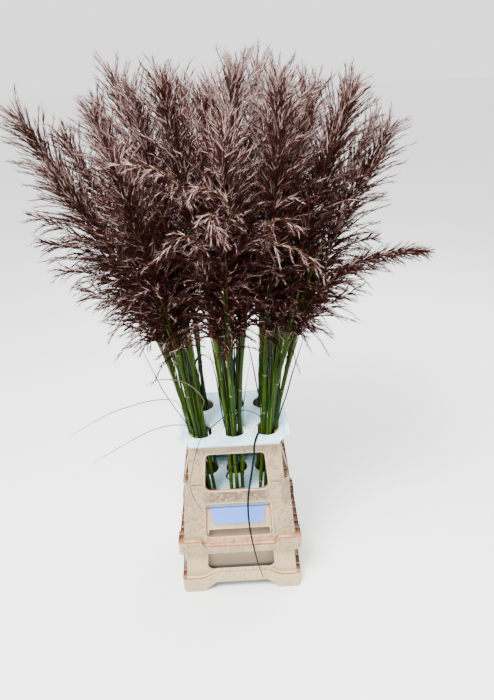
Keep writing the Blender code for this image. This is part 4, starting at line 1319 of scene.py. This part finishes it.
def flat_ring(name, half, inner_half, corner, low, high, material, bevel=0.0008, inner_corner=0.008):
    """A flat ring with rounded corners, and a bevel round its upper edge."""
    rings = [rounded_outline(half, corner, low), rounded_outline(half, corner, high - bevel),
             rounded_outline(inset(half, bevel), corner, high),
             rounded_outline(inner_half, inner_corner, high), rounded_outline(inner_half, inner_corner, low)]
    return mesh_from(name, lambda shape: loft(shape, rings), material, angle=30)


def lowered(points, half, drop):
    """The points of an outline, lowered along its short sides."""
    for point in points:
        if abs(abs(point.x) - half[0]) < NEAR:
            point.z -= drop
    return points


def skirt_outline(distance, side, height, rise, arch, drop=0.0):
    """Points round a skirt, set in from its long and its short sides, and lowered along the short ones."""
    half = (FOOT_HALF[0] - side, FOOT_HALF[1] - distance)
    return lowered(rounded_outline(half, max(SKIRT_CORNER - distance, 0.004), height, rise, arch), half, drop)


def skirt_ring(name, bottom, top, rises, ledges, cell_end, groove_fill, arch, material):
    """A skirt with a rounded rim, a gutter behind it and the ledge that joins it to the wall."""
    low_rise, high_rise = rises
    side_ledge, ledge = ledges
    start, end = GUTTER
    near, far = CELLS[0], cell_end
    groove = high_rise + groove_fill

    def at(distance, height, side=None, drop=0.0, rise=high_rise):
        return skirt_outline(distance, distance if side is None else side, height, rise, arch, drop)

    rings = [at(0.0, bottom, rise=low_rise),
             at(0.0, top - 0.0015),
             at(0.0004, top - 0.0004, 0.0003),
             at(0.0012, top, 0.0007),
             at(0.0022, top - 0.0004, near - 0.0003),
             at(start, top - 0.0015, near),
             at(start, top - GUTTER_DEPTH, near, CELL_DROP, groove),
             at(end, top - GUTTER_DEPTH, far, CELL_DROP, groove),
             at(end, top - 0.0012, far),
             at(end + 0.0008, top - 0.0002, far + 0.0006),
             at(ledge + 0.001, top + 0.0030, side_ledge + 0.001),
             at(ledge + WALL, top + 0.0010, side_ledge + WALL),
             at(end + 0.0004, top - GUTTER_FLOOR, far + 0.0004, CELL_DROP),
             at(WALL, top - GUTTER_FLOOR, WALL, CELL_DROP),
             at(WALL, bottom, rise=low_rise)]
    return mesh_from(name, lambda shape: loft(shape, rings), material, angle=40)


def window_lips(name, windows, levels, radius, material):
    """A rounded lip round every window of one row."""
    def middle(height, side):
        half = wall_half(levels, height)
        return half[(side + 1) % 2] - WALL / 2

    def fill(shape):
        for side in range(4):
            tube(shape, window_outline(windows, side, middle), radius)

    return mesh_from(name, fill, material, angle=80)


def gutter_ribs(given, cell_end, top, rise, arch, material):
    """The ribs across a skirt's gutter on its long sides, and between the cells on its short ones."""
    meshes = []
    for axis, (near, far), spacing in ((1, GUTTER, given.gutter_spacing),
                                       (0, (CELLS[0], cell_end), given.cell_spacing)):
        middle = (near + far) / 2
        half = inset(FOOT_HALF, middle)
        ring = rounded_outline(half, max(SKIRT_CORNER - middle, 0.006), top - 0.0040, rise, arch)
        paths = [sorted((point for point in ring if abs(point[axis] * sign - half[axis]) < NEAR),
                        key=lambda point: point[1 - axis]) for sign in (-1, 1)]
        size = (given.rung, far - near + RIB_OVERLAP, GUTTER_RIB_HEIGHT)
        meshes.append(grown("gutter_ribs", bpy.data.node_groups["Rungs"], paths, Spacing=spacing, Size=size,
                            Follow=1.0, Material=material))
    return meshes


def step_lid(material):
    """The lid of the step: chamfered corners, and a sunken row of cells along each short side."""
    outer = inset(UPPER_STEP_HALF, -STEP_OVERHANG)
    top, low = UPPER_STEP + 0.0014, UPPER_STEP - 0.0050
    inner = [rounded_outline(inset(UPPER_NECK_HALF, 0.012), 0.008, height, steps=1) for height in (top, low)]
    near, far = STEP_CELLS

    def at(distance, side, height, drop=0.0):
        half = (outer[0] - side, outer[1] - distance)
        return lowered(rounded_outline(half, STEP_CHAMFER, height, steps=1), half, drop)

    rings = [at(0.0, 0.0, low), at(0.0, 0.0, top - 0.0008), at(0.0008, 0.0006, top),
             at(0.0030, near, top), at(0.0034, near + 0.0001, top - 0.0003, STEP_CELL_DROP),
             at(0.0080, far, top - 0.0003, STEP_CELL_DROP), at(0.0084, far + 0.0001, top), *inner]
    return mesh_from("step", lambda shape: loft(shape, rings), material, angle=30)


# ------------------------------------------------------------
# Operators

class PieceOperator(bpy.types.Operator):
    """Shared options of the operators that build pieces."""
    bl_options = {"REGISTER", "UNDO"}


class PAMPAS_OT_base_frame(PieceOperator):
    """Build the base frame: an arched skirt with a ribbed gutter, and a tapered wall with windows"""
    bl_idname = "pampas.base_frame"
    bl_label = "Base frame"

    def execute(self, context):
        given = context.scene.pampas_holder
        plastic = bpy.data.materials["crate_plastic"]
        wall = wall_ring(BASE_LEVELS, (SQUARE_CORNER,) * 2, plastic, "wall")
        wall = cut_windows(wall, BASE_WINDOWS, (0.100, 0.140))
        skirt = skirt_ring("skirt", 0.0, BASE_SKIRT_TOP, (BASE_ARCH_RISE, BASE_CROWN_RISE), (BASE_LEDGE,) * 2,
                           CELLS[1], 0.0066, BASE_ARCH, plastic)
        cap = flat_ring("cap", BASE_TOP_HALF, inset(BASE_TOP_HALF, CAP_WIDTH), 0.014, BASE_TOP - CAP_DEPTH,
                        BASE_TOP, plastic)
        lips = window_lips("lips", BASE_WINDOWS, BASE_LEVELS, given.lip, bpy.data.materials["lip_plastic"])
        ribs = gutter_ribs(given, CELLS[1], BASE_SKIRT_TOP, BASE_CROWN_RISE, BASE_ARCH, plastic)
        shown("base_frame_shell", joined_mesh("base_frame_shell", [wall, skirt, cap, *ribs], plastic),
              "frame_plastic", "base_frame")
        shown("base_window_lips", lips, "frame_plastic")
        return {"FINISHED"}


class PAMPAS_OT_upper_frame(PieceOperator):
    """Build the upper frame: a skirt with a ribbed gutter, a wide lower part, a step and a neck"""
    bl_idname = "pampas.upper_frame"
    bl_label = "Upper frame"

    def execute(self, context):
        given = context.scene.pampas_holder
        plastic = bpy.data.materials["upper_crate_plastic"]
        edging = bpy.data.materials["lip_plastic"]
        parts = []
        wall_levels = [(level, wall_half(UPPER_LOW_LEVELS, level)) for level in CHAMFER_LEVELS]
        wall_levels = [UPPER_LOW_LEVELS[0], *wall_levels, UPPER_LOW_LEVELS[1]]
        for name, levels, corners, windows, reach in (
                ("lower_wall", wall_levels, (SQUARE_CORNER,) * 2 + (STEP_CHAMFER,) * 2,
                 (LOWER_WINDOWS, UPPER_WINDOWS), (0.110, 0.130)),
                ("neck", UPPER_NECK_LEVELS, (SQUARE_CORNER,) * 2, (UPPER_WINDOWS,), (0.100, 0.110))):
            mesh = wall_ring(levels, corners, plastic, name)
            for row in windows:
                mesh = cut_windows(mesh, row, reach)
            parts.append(mesh)
        shelf_wall = inset(wall_half(UPPER_LOW_LEVELS, SHELF_LEVELS[0]), WALL / 2)
        shelf = flat_ring("shelf", shelf_wall, SHELF_HALF, 0.018, *SHELF_LEVELS, plastic)
        parts.append(cut_windows(step_lid(plastic), UPPER_WINDOWS, (0.100, 0.110), (0, 2)))
        parts.append(cut_windows(shelf, LOWER_WINDOWS, (0.128, 0.165)))
        parts.append(flat_ring("cap", UPPER_TOP_HALF, inset(UPPER_TOP_HALF, CAP_WIDTH), 0.010,
                               UPPER_TOP - CAP_DEPTH, UPPER_TOP, plastic))
        parts.append(skirt_ring("skirt", UPPER_BOTTOM, UPPER_SKIRT_TOP, (0.0, UPPER_DIP),
                                (UPPER_SIDE_LEDGE, UPPER_LEDGE), UPPER_CELL_END, 0.0, UPPER_ARCH, plastic))
        lips = [window_lips("low_lips", LOWER_WINDOWS, UPPER_LOW_LEVELS, given.lip * 0.7, edging),
                window_lips("high_lips", UPPER_WINDOWS, UPPER_LEVELS, given.lip, edging)]
        shown("upper_window_lips", joined_mesh("upper_window_lips", lips, edging), "frame_plastic")
        parts += gutter_ribs(given, UPPER_CELL_END, UPPER_SKIRT_TOP, UPPER_DIP, UPPER_ARCH, plastic)
        middle = UPPER_STEP_HALF[0] + STEP_OVERHANG - sum(STEP_CELLS) / 2
        run, height = UPPER_STEP_HALF[1] - STEP_CHAMFER, UPPER_STEP - 0.0012
        sides = [[(x, -run, height), (x, run, height)] for x in (-middle, middle)]
        size = (given.rung, STEP_CELLS[1] - STEP_CELLS[0] + RIB_OVERLAP, STEP_RIB_HEIGHT)
        parts.append(grown("step_ribs", bpy.data.node_groups["Rungs"], sides, Spacing=given.cell_spacing,
                           Size=size, Follow=1.0, Material=plastic))
        shell = joined_mesh("upper_frame_shell", parts, plastic)
        shown("upper_frame_shell", shell, "frame_plastic", "upper_frame")
        return {"FINISHED"}


class PAMPAS_OT_pockets(PieceOperator):
    """Build the painted shade: dark linings deep in the gutters and cells, and the windows' dark inner edges
    """
    bl_idname = "pampas.pockets"
    bl_label = "Pocket linings"

    def execute(self, context):
        lining = bpy.data.materials["pocket_plastic"]

        # Dark sheets of painted shade in the skirts' gutters and cells and in the step's cells
        def fill(shape):
            high, low = LINING_DEPTHS
            for top, rise, arch, cell_end in ((BASE_SKIRT_TOP, BASE_CROWN_RISE - 0.006, BASE_ARCH, CELLS[1]),
                                              (UPPER_SKIRT_TOP, UPPER_DIP, UPPER_ARCH, UPPER_CELL_END)):
                strip = []
                for end, edge, depth in ((0, -LINING_OVERLAP, high), (1, LINING_OVERLAP, high),
                                         (1, LINING_OVERLAP, low), (0, -LINING_OVERLAP, low)):
                    strip.append(skirt_outline(GUTTER[end] + edge, (CELLS[0], cell_end)[end] + edge,
                                               top - depth, rise, arch, LINING_DROP))
                loft(shape, strip)
            edge = UPPER_STEP_HALF[0] + STEP_OVERHANG
            run = UPPER_STEP_HALF[1] - STEP_CHAMFER
            near, far = STEP_CELLS[0] - LINING_OVERLAP, STEP_CELLS[1] + LINING_OVERLAP
            for sign in (-1, 1):
                corners = [(sign * (edge - x), y)
                           for x, y in ((near, -run), (far, -run), (far, run), (near, run))]
                capped(shape, [[Vector((x, y, UPPER_STEP - depth)) for x, y in corners]
                               for depth in STEP_LINING_DEPTHS])

        # The ledge holes: small dark boxes of painted shade
        half_row, row, height = LEDGE_HOLES
        paths = [[(side * half_row, sign * row, height) for side in (-1, 1)] for sign in (-1, 1)]
        holes = grown("holes", bpy.data.node_groups["Rungs"], paths, Spacing=LEDGE_HOLE_SPACING,
                      Size=LEDGE_HOLE_SIZE, Follow=0.0, Material=lining)
        skins = [mesh_from("skins", fill, lining), holes]
        # Tubes of painted shade just inside and behind each window's lip
        inwards, behind, radius = REVEAL_SHADE
        for windows, levels in ((LOWER_WINDOWS, UPPER_LOW_LEVELS), (UPPER_WINDOWS, UPPER_LEVELS)):
            wide, narrow, (low, high), radii = windows
            inner = (inset(wide, inwards), inset(narrow, inwards), (low + inwards, high - inwards), radii)
            back = [(level, inset(half, behind)) for level, half in levels]
            skins.append(window_lips("reveal", inner, back, radius, lining))
        shown("pocket_linings", joined_mesh("pocket_linings", skins, lining), "frame_plastic")
        return {"FINISHED"}


class PAMPAS_OT_bucket(PieceOperator):
    """Build the water bucket with its turned-out rim"""
    bl_idname = "pampas.bucket"
    bl_label = "Water bucket"

    def execute(self, context):
        def at(share, distance, height, corner=0.022):
            half = tuple(mix(a, b, share) - distance for a, b in zip(BUCKET_FOOT_HALF, BUCKET_RIM_HALF))
            return rounded_outline(half, corner, height)

        top = BUCKET_HEIGHT
        rings = [at(0, 0.004, 0.0, 0.018), at(0, 0.001, 0.0012), at(0, 0.0, 0.004),
                 at(0.93, 0.0, top - 0.020), at(0.96, -0.0018, top - 0.018), at(0.97, -0.0018, top - 0.008),
                 at(1, -0.0030, top - 0.007), at(1, -0.0030, top - 0.0012), at(1, -0.0022, top - 0.0002),
                 at(1, 0.0006, top), at(1, 0.0030, top - 0.0015), at(0, 0.0030, 0.007),
                 at(0, 0.006, WALL, 0.018)]

        plastic = bpy.data.materials["bucket_wall"]
        mesh = mesh_from("bucket_shell", lambda shape: capped(shape, rings), plastic, angle=35)
        shown("bucket_shell", mesh, "bucket_plastic", "water_bucket")
        return {"FINISHED"}


class PAMPAS_OT_plates(PieceOperator):
    """Build both sheet metal plates with drawn holes and folded edges"""
    bl_idname = "pampas.plates"
    bl_label = "Plates"

    def execute(self, context):
        given = context.scene.pampas_plates
        self.plate(given, "lower_plate_sheet", "lower_plate", *LOWER_PLATE)
        self.plate(given, "upper_plate_sheet", "upper_plate", *UPPER_PLATE)
        return {"FINISHED"}

    def plate(self, given, name, node, half, level, lip):
        """One plate: a flat drawing filled, its holes drawn down and its edges folded."""
        top = level + SHEET
        bend = min(abs(lip), 0.0035)
        width, depth = half[0], half[1] - bend
        cut_x, cut_y = PLATE_CHAMFER
        outer = ((-width + cut_x, -depth), (width - cut_x, -depth), (width, -depth + cut_y),
                 (width, depth - cut_y), (width - cut_x, depth), (-width + cut_x, depth),
                 (-width, depth - cut_y), (-width, -depth + cut_y))
        turns = [step / 32 * math.tau for step in range(32)]
        rim = HOLE_RADIUS + given.collar_bend
        centres = [(x, y) for x in HOLE_COLUMNS for y in (-HOLE_ROW, HOLE_ROW)]
        curve = bpy.data.curves.new(name, "CURVE")
        curve.dimensions, curve.fill_mode = "2D", "BOTH"
        loops = [[(x + rim * math.cos(turn), y + rim * math.sin(turn)) for turn in turns] for x, y in centres]
        for loop in (outer, *loops):
            spline = curve.splines.new("POLY")
            spline.points.add(len(loop) - 1)
            for point, (x, y) in zip(spline.points, loop):
                point.co = (x, y, 0.0, 1.0)
            spline.use_cyclic_u = True
        flat = with_modifiers(name, curve, lambda host: None)
        shape = bmesh.new()
        shape.from_mesh(flat)
        bmesh.ops.remove_doubles(shape, verts=shape.verts, dist=0.00005)
        bmesh.ops.translate(shape, verts=shape.verts, vec=(0, 0, top))
        edges = [edge for edge in shape.edges if edge.is_boundary]
        for x, y in centres:
            centre = Vector((x, y))
            loop = [edge for edge in edges
                    if all(abs((vert.co.xy - centre).length - rim) < 0.0005 for vert in edge.verts)]
            bends = [(HOLE_RADIUS + given.collar_bend * (1 - out), down) for out, down in BEND]
            for radius, drop in (*bends, (HOLE_RADIUS, given.collar / given.collar_bend)):
                loop = self.drawn(shape, loop)
                for vert in {vert for edge in loop for vert in edge.verts}:
                    away = Vector((vert.co.x - x, vert.co.y - y)).normalized() * radius
                    vert.co = (x + away.x, y + away.y, top - given.collar_bend * drop)
        for sign in (-1, 1):
            loop = [edge for edge in edges
                    if edge.is_valid and all(abs(vert.co.y - sign * depth) < NEAR for vert in edge.verts)]
            for out, down in (*BEND, (1.0, abs(lip) / bend)):
                loop = self.drawn(shape, loop)
                for vert in {vert for edge in loop for vert in edge.verts}:
                    vert.co.y = sign * (depth + out * bend)
                    vert.co.z = top + math.copysign(down * bend, lip)
        crease = width - FOLD_WIDTH
        for side in (-1, 1):
            bmesh.ops.bisect_plane(shape, geom=shape.verts[:] + shape.edges[:] + shape.faces[:],
                                   plane_co=(side * crease, 0, 0), plane_no=(1, 0, 0))
        for vert in shape.verts:
            over = abs(vert.co.x) - crease
            if over > 0:
                vert.co.z -= over / FOLD_WIDTH * given.fold
        put_in_order(shape)
        bmesh.ops.recalc_face_normals(shape, faces=shape.faces)
        if sum(face.normal.z * face.calc_area() for face in shape.faces) < 0:
            bmesh.ops.reverse_faces(shape, faces=shape.faces)
        for face in shape.faces:
            face.smooth = True
        for edge in shape.edges:
            edge.smooth = any(abs(abs(vert.co.x) - crease) > NEAR for vert in edge.verts)
        mesh = bpy.data.meshes.new(name)
        shape.to_mesh(mesh)
        shape.free()
        mesh.materials.append(bpy.data.materials["zinc_sheet"])

        def modify(host):
            sheet = host.modifiers.new("sheet", "SOLIDIFY")
            sheet.thickness, sheet.offset = SHEET, -1.0
            normals = host.modifiers.new("normals", "WEIGHTED_NORMAL")
            normals.keep_sharp, normals.weight = True, 100

        shown(name, with_modifiers(name, mesh, modify), "sheet_metal", node)

    @staticmethod
    def drawn(shape, edges):
        """Push out new edges from a row of edges."""
        def outermost(item):
            across = (other for face in item.link_faces for other in face.edges
                      if not set(other.verts) & set(item.verts))
            return item.is_boundary and item not in edges and not any(other.is_boundary for other in across)

        pushed = bmesh.ops.extrude_edge_only(shape, edges=edges)
        return [item for item in pushed["geom"] if isinstance(item, bmesh.types.BMEdge) and outermost(item)]


class PAMPAS_OT_card(PieceOperator):
    """Build the blank label card, folded over the shelf with its free edge curling out"""
    bl_idname = "pampas.card"
    bl_label = "Label card"

    def execute(self, context):
        lo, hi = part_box("label_card")
        top, front = hi.z - 0.0002, lo.y + 0.0002
        drop, tuck = top - lo.z, hi.y - lo.y
        half = (hi.x - lo.x) / 2
        down, across, bent = 20, 16, 0.2

        def fill(shape):
            rows = []
            for step in range(down + 1):
                share = step / down
                fall = max(0.0, (share - bent) / (1 - bent))
                if share < bent:
                    y, z = front + tuck * (1 - share / bent), top
                else:
                    y, z = front - 0.0045 * fall ** 2, top - drop * fall
                wide = half * mix(1.0, 0.93, fall)
                curl = 0.0012 * max(0.0, share - bent)
                rows.append([shape.verts.new((wide * (column / across * 2 - 1),
                                              y - curl * math.cos(column / across * math.tau), z))
                             for column in range(across + 1)])
            for lower, upper in zip(rows, rows[1:]):
                for column in range(across):
                    shape.faces.new((lower[column], lower[column + 1], upper[column + 1], upper[column]))

        mesh = mesh_from("card", fill, bpy.data.materials["label_stock"], angle=60)

        def modify(host):
            sheet = host.modifiers.new("card", "SOLIDIFY")
            sheet.thickness, sheet.offset = 0.0004, 0.0

        shown("blank_card", with_modifiers("blank_card", mesh, modify), "card_paper", "label_card")
        return {"FINISHED"}


class PAMPAS_OT_culms(PieceOperator):
    """Grow the bare green culm of every stalk, from the bucket's floor to its plume"""
    bl_idname = "pampas.culms"
    bl_label = "Culms"

    def execute(self, context):
        given = context.scene.pampas_stems
        tree = culm_tree()
        for index, (bunch, number) in enumerate(stalk_names()):
            mesh = grown(f"culm_{bunch}_{number}", tree, [split_stalk(bunch, number)[0]], Radius=given.radius,
                         Taper=given.taper, Tone=CULM_TONES[index * 3 % len(CULM_TONES)], Seed=index,
                         Material=bpy.data.materials["green_culm"],
                         **{"Node Spacing": given.spacing * (0.85 + 0.3 * (index % 5) / 4),
                            "Node Swell": given.swell, "Blade Length": given.blade_length,
                            "Blade Width": given.blade_width, "Blade Lean": given.blade_lean,
                            "Blade Bow": given.blade_bow, "Blade Start": LOWER_PLATE[1] + SLIM_BLADE_START})
            shown(mesh.name, mesh, "green_blade", f"stalk_{bunch}_{number}")
        return {"FINISHED"}


class PAMPAS_OT_plumes(PieceOperator):
    """Grow the plume of every stalk"""
    bl_idname = "pampas.plumes"
    bl_label = "Plumes"

    def execute(self, context):
        given = context.scene.pampas_plumes
        tree = plume_tree()
        silk = bpy.data.materials["plume_silk"]
        for index, (bunch, number) in enumerate(stalk_names()):
            path = split_stalk(bunch, number)[1]
            path = path[:-2] + [path[-2].lerp(path[-3], 0.4)]
            length = sum((b - a).length for a, b in zip(path, path[1:]))
            slim = given.spray if (bunch, number) == DROOPING_STALK else 1.0
            mesh = grown(f"plume_{bunch}_{number}", tree, [path], Branches=given.branches,
                         Spread=given.spread, Droop=given.droop, Wobble=given.wobble,
                         Thickness=given.thickness, Depth=given.depth, Reach=given.reach,
                         Tone=(index * 0.618) % 1.0, Seed=index * 20 + 3, Material=silk,
                         **{"Branch Length": given.branch_length * slim * min(1.0, length / FULL_PLUME),
                            "Spikelet Spacing": given.spacing, "Spikelet Length": given.length,
                            "Spikelet Width": given.width, "Spikelet Angle": given.angle})
            shown(mesh.name, mesh, "plume", f"stalk_{bunch}_{number}")
        return {"FINISHED"}


class PAMPAS_OT_tassels(PieceOperator):
    """Grow the pale tassels in front of the plumes and the dark sprays at their flanks"""
    bl_idname = "pampas.tassels"
    bl_label = "Tassels"

    def execute(self, context):
        given = context.scene.pampas_plumes
        tree = bpy.data.node_groups["Plume"]
        for index, (name, (stalk, height, fullness, paleness, route)) in enumerate(TASSELS.items()):
            path = smooth_route([point_on_stalk(*stalk, height), *(Vector(point) for point in route)])
            fine = mix(0.40, 0.68, fullness)
            mesh = grown(name, tree, [path], Branches=given.tassel_branches, Spread=given.spread,
                         Droop=TASSEL_DROOP, Wobble=given.wobble * 0.5, Thickness=given.thickness * 0.5,
                         Depth=TASSEL_DEPTH, Reach=given.reach, Tone=given.tassel_tone * paleness,
                         Seed=700 + index, Material=bpy.data.materials["plume_silk"],
                         **{"Branch Length": given.tassel_length * fullness,
                            "Spikelet Spacing": given.spacing * fine, "Spikelet Length": given.length * fine,
                            "Spikelet Width": given.width * fine, "Spikelet Angle": given.angle})
            shown(name, mesh, "plume")
        return {"FINISHED"}


class PAMPAS_OT_leaves(PieceOperator):
    """Grow the loose leaf blades, each from the skin of its own culm"""
    bl_idname = "pampas.leaves"
    bl_label = "Leaf blades"

    def execute(self, context):
        given = context.scene.pampas_leaves
        section = bpy.data.meshes.new("blade_section")
        thick = given.thickness / USUAL_BLADE
        edge, keel = 0.3, -0.12
        corners = [(-1, edge, 0), (0, keel, 0), (1, edge, 0),
                   (1, edge + thick * 0.5, 0), (0, keel + thick, 0), (-1, edge + thick * 0.5, 0)]
        section.from_pydata(corners, [(start, (start + 1) % 6) for start in range(6)], [])
        holder = linked("blade_section", section)
        tree = blade_tree()
        for name, (width, finish, (bunch, number), height, route) in LEAVES.items():
            axis = point_on_stalk(bunch, number, height)
            side = Vector((route[0][0] - axis.x, route[0][1] - axis.y, 0.0)).normalized()
            root = axis + side * (CULM_RADIUS + ROOT_GAP)
            mesh = grown(name + "_blade", tree, [(root, *route)], Width=width,
                         Material=bpy.data.materials[finish + "_leaf"])
            shown(name + "_blade", mesh, "green_blade", name)
        bpy.data.objects.remove(holder, do_unlink=True)
        return {"FINISHED"}


class PAMPAS_OT_finishes(PieceOperator):
    """Make the materials and the node trees that the pieces share"""
    bl_idname = "pampas.finishes"
    bl_label = "Finishes"

    def execute(self, context):
        holder, leaves = context.scene.pampas_holder, context.scene.pampas_leaves
        plumes, stems = context.scene.pampas_plumes, context.scene.pampas_stems
        plastic_finish("crate_plastic", toned(holder.plastic, 1.30), holder.ledge, holder.stain, 0.7)
        plastic_finish("upper_crate_plastic", holder.plastic, holder.ledge, holder.stain, 2.8)
        lip_finish(holder.lip_tone)
        pocket_shade_finish(holder.pocket)
        bucket_finish(holder.bucket)
        metal_finish(context.scene.pampas_plates.metal)
        card_finish(leaves.card)
        culm_finish(stems.young[:3], stems.old[:3])
        plume_finish(plumes.deep[:3], plumes.middle[:3], plumes.pale[:3], plumes.rind)
        leaf_finish("blue_leaf", leaves.blue, (0.004, 0.014, 0.011, 1))
        leaf_finish("dark_leaf", leaves.dark, (0.010, 0.026, 0.009, 1))
        leaf_finish("dry_leaf", leaves.dry, (0.14, 0.115, 0.07, 1))
        rung_tree()
        return {"FINISHED"}


class PAMPAS_OT_stage(PieceOperator):
    """Lay the pale floor, hang the soft lights and place the camera"""
    bl_idname = "pampas.stage"
    bl_label = "Stage"

    def execute(self, context):
        given = context.scene.pampas_stage
        floor = linked("floor", mesh_from("floor", lambda shape: bmesh.ops.create_grid(
            shape, x_segments=1, y_segments=1, size=FLOOR_HALF), floor_finish(given.floor)))
        world = bpy.data.worlds.new("studio")
        world.use_nodes = True
        backdrop = world.node_tree.nodes["Background"]
        backdrop.inputs["Color"].default_value = (1.0, 1.0, 1.0, 1.0)
        backdrop.inputs["Strength"].default_value = given.sky
        context.scene.world = world
        for name, (place, width) in LAMPS.items():
            data = bpy.data.lights.new(name, "AREA")
            data.shape, data.size, data.energy = "SQUARE", width, getattr(given, name)
            lamp = linked(name, data)
            lamp.location = place
            lamp.rotation_mode = "QUATERNION"
            lamp.rotation_quaternion = (Vector(LAMP_AIM) - Vector(place)).to_track_quat("-Z", "Y")
        turn, tilt, roll = (math.radians(angle) for angle in (CAMERA_TURN, CAMERA_TILT, CAMERA_ROLL))
        ahead = Vector((math.sin(turn) * math.cos(tilt), math.cos(turn) * math.cos(tilt), -math.sin(tilt)))
        level = Vector((math.cos(turn), -math.sin(turn), 0.0))
        under = ahead.cross(level)
        across = level * math.cos(roll) + under * math.sin(roll)
        below = under * math.cos(roll) - level * math.sin(roll)
        data = bpy.data.cameras.new("camera")
        data.lens, data.sensor_width = given.lens, 36.0
        camera = linked("camera", data)
        camera.matrix_world = Matrix((across, -below, -ahead)).transposed().to_4x4()
        camera.location = CAMERA_PLACE
        context.scene.camera = camera
        return {"FINISHED"}


SETTINGS = {"pampas_holder": HolderSettings, "pampas_plates": PlateSettings, "pampas_stems": StemSettings,
            "pampas_plumes": PlumeSettings, "pampas_leaves": LeafSettings, "pampas_stage": StageSettings}
OPERATORS = (PAMPAS_OT_finishes, PAMPAS_OT_base_frame, PAMPAS_OT_upper_frame, PAMPAS_OT_pockets,
             PAMPAS_OT_bucket, PAMPAS_OT_plates, PAMPAS_OT_card, PAMPAS_OT_culms, PAMPAS_OT_plumes,
             PAMPAS_OT_tassels, PAMPAS_OT_leaves, PAMPAS_OT_stage)


class PAMPAS_PT_panel(bpy.types.Panel):
    """Settings and operators of the bunches and their holder."""
    bl_idname = "PAMPAS_PT_panel"
    bl_label = "Pampas grass in a holder"
    bl_space_type = "VIEW_3D"
    bl_region_type = "UI"
    bl_category = "Pampas"

    def draw(self, context):
        for name in SETTINGS:
            box = self.layout.box()
            for key in getattr(context.scene, name).bl_rna.properties.keys():
                if key not in ("rna_type", "name"):
                    box.prop(getattr(context.scene, name), key)
        for operator in OPERATORS:
            self.layout.operator(operator.bl_idname)


def register():
    """Register the settings, the operators and the panel."""
    for item in (*SETTINGS.values(), *OPERATORS, PAMPAS_PT_panel):
        bpy.utils.register_class(item)
    for name, group in SETTINGS.items():
        setattr(bpy.types.Scene, name, bpy.props.PointerProperty(type=group))


def unregister():
    """Undo register."""
    for name in SETTINGS:
        delattr(bpy.types.Scene, name)
    for item in reversed((*SETTINGS.values(), *OPERATORS, PAMPAS_PT_panel)):
        bpy.utils.unregister_class(item)


def main():
    """Build every piece and the stage."""
    register()
    for operator in OPERATORS:
        group, name = operator.bl_idname.split(".")
        getattr(getattr(bpy.ops, group), name)()


if __name__ == "__main__":
    main()
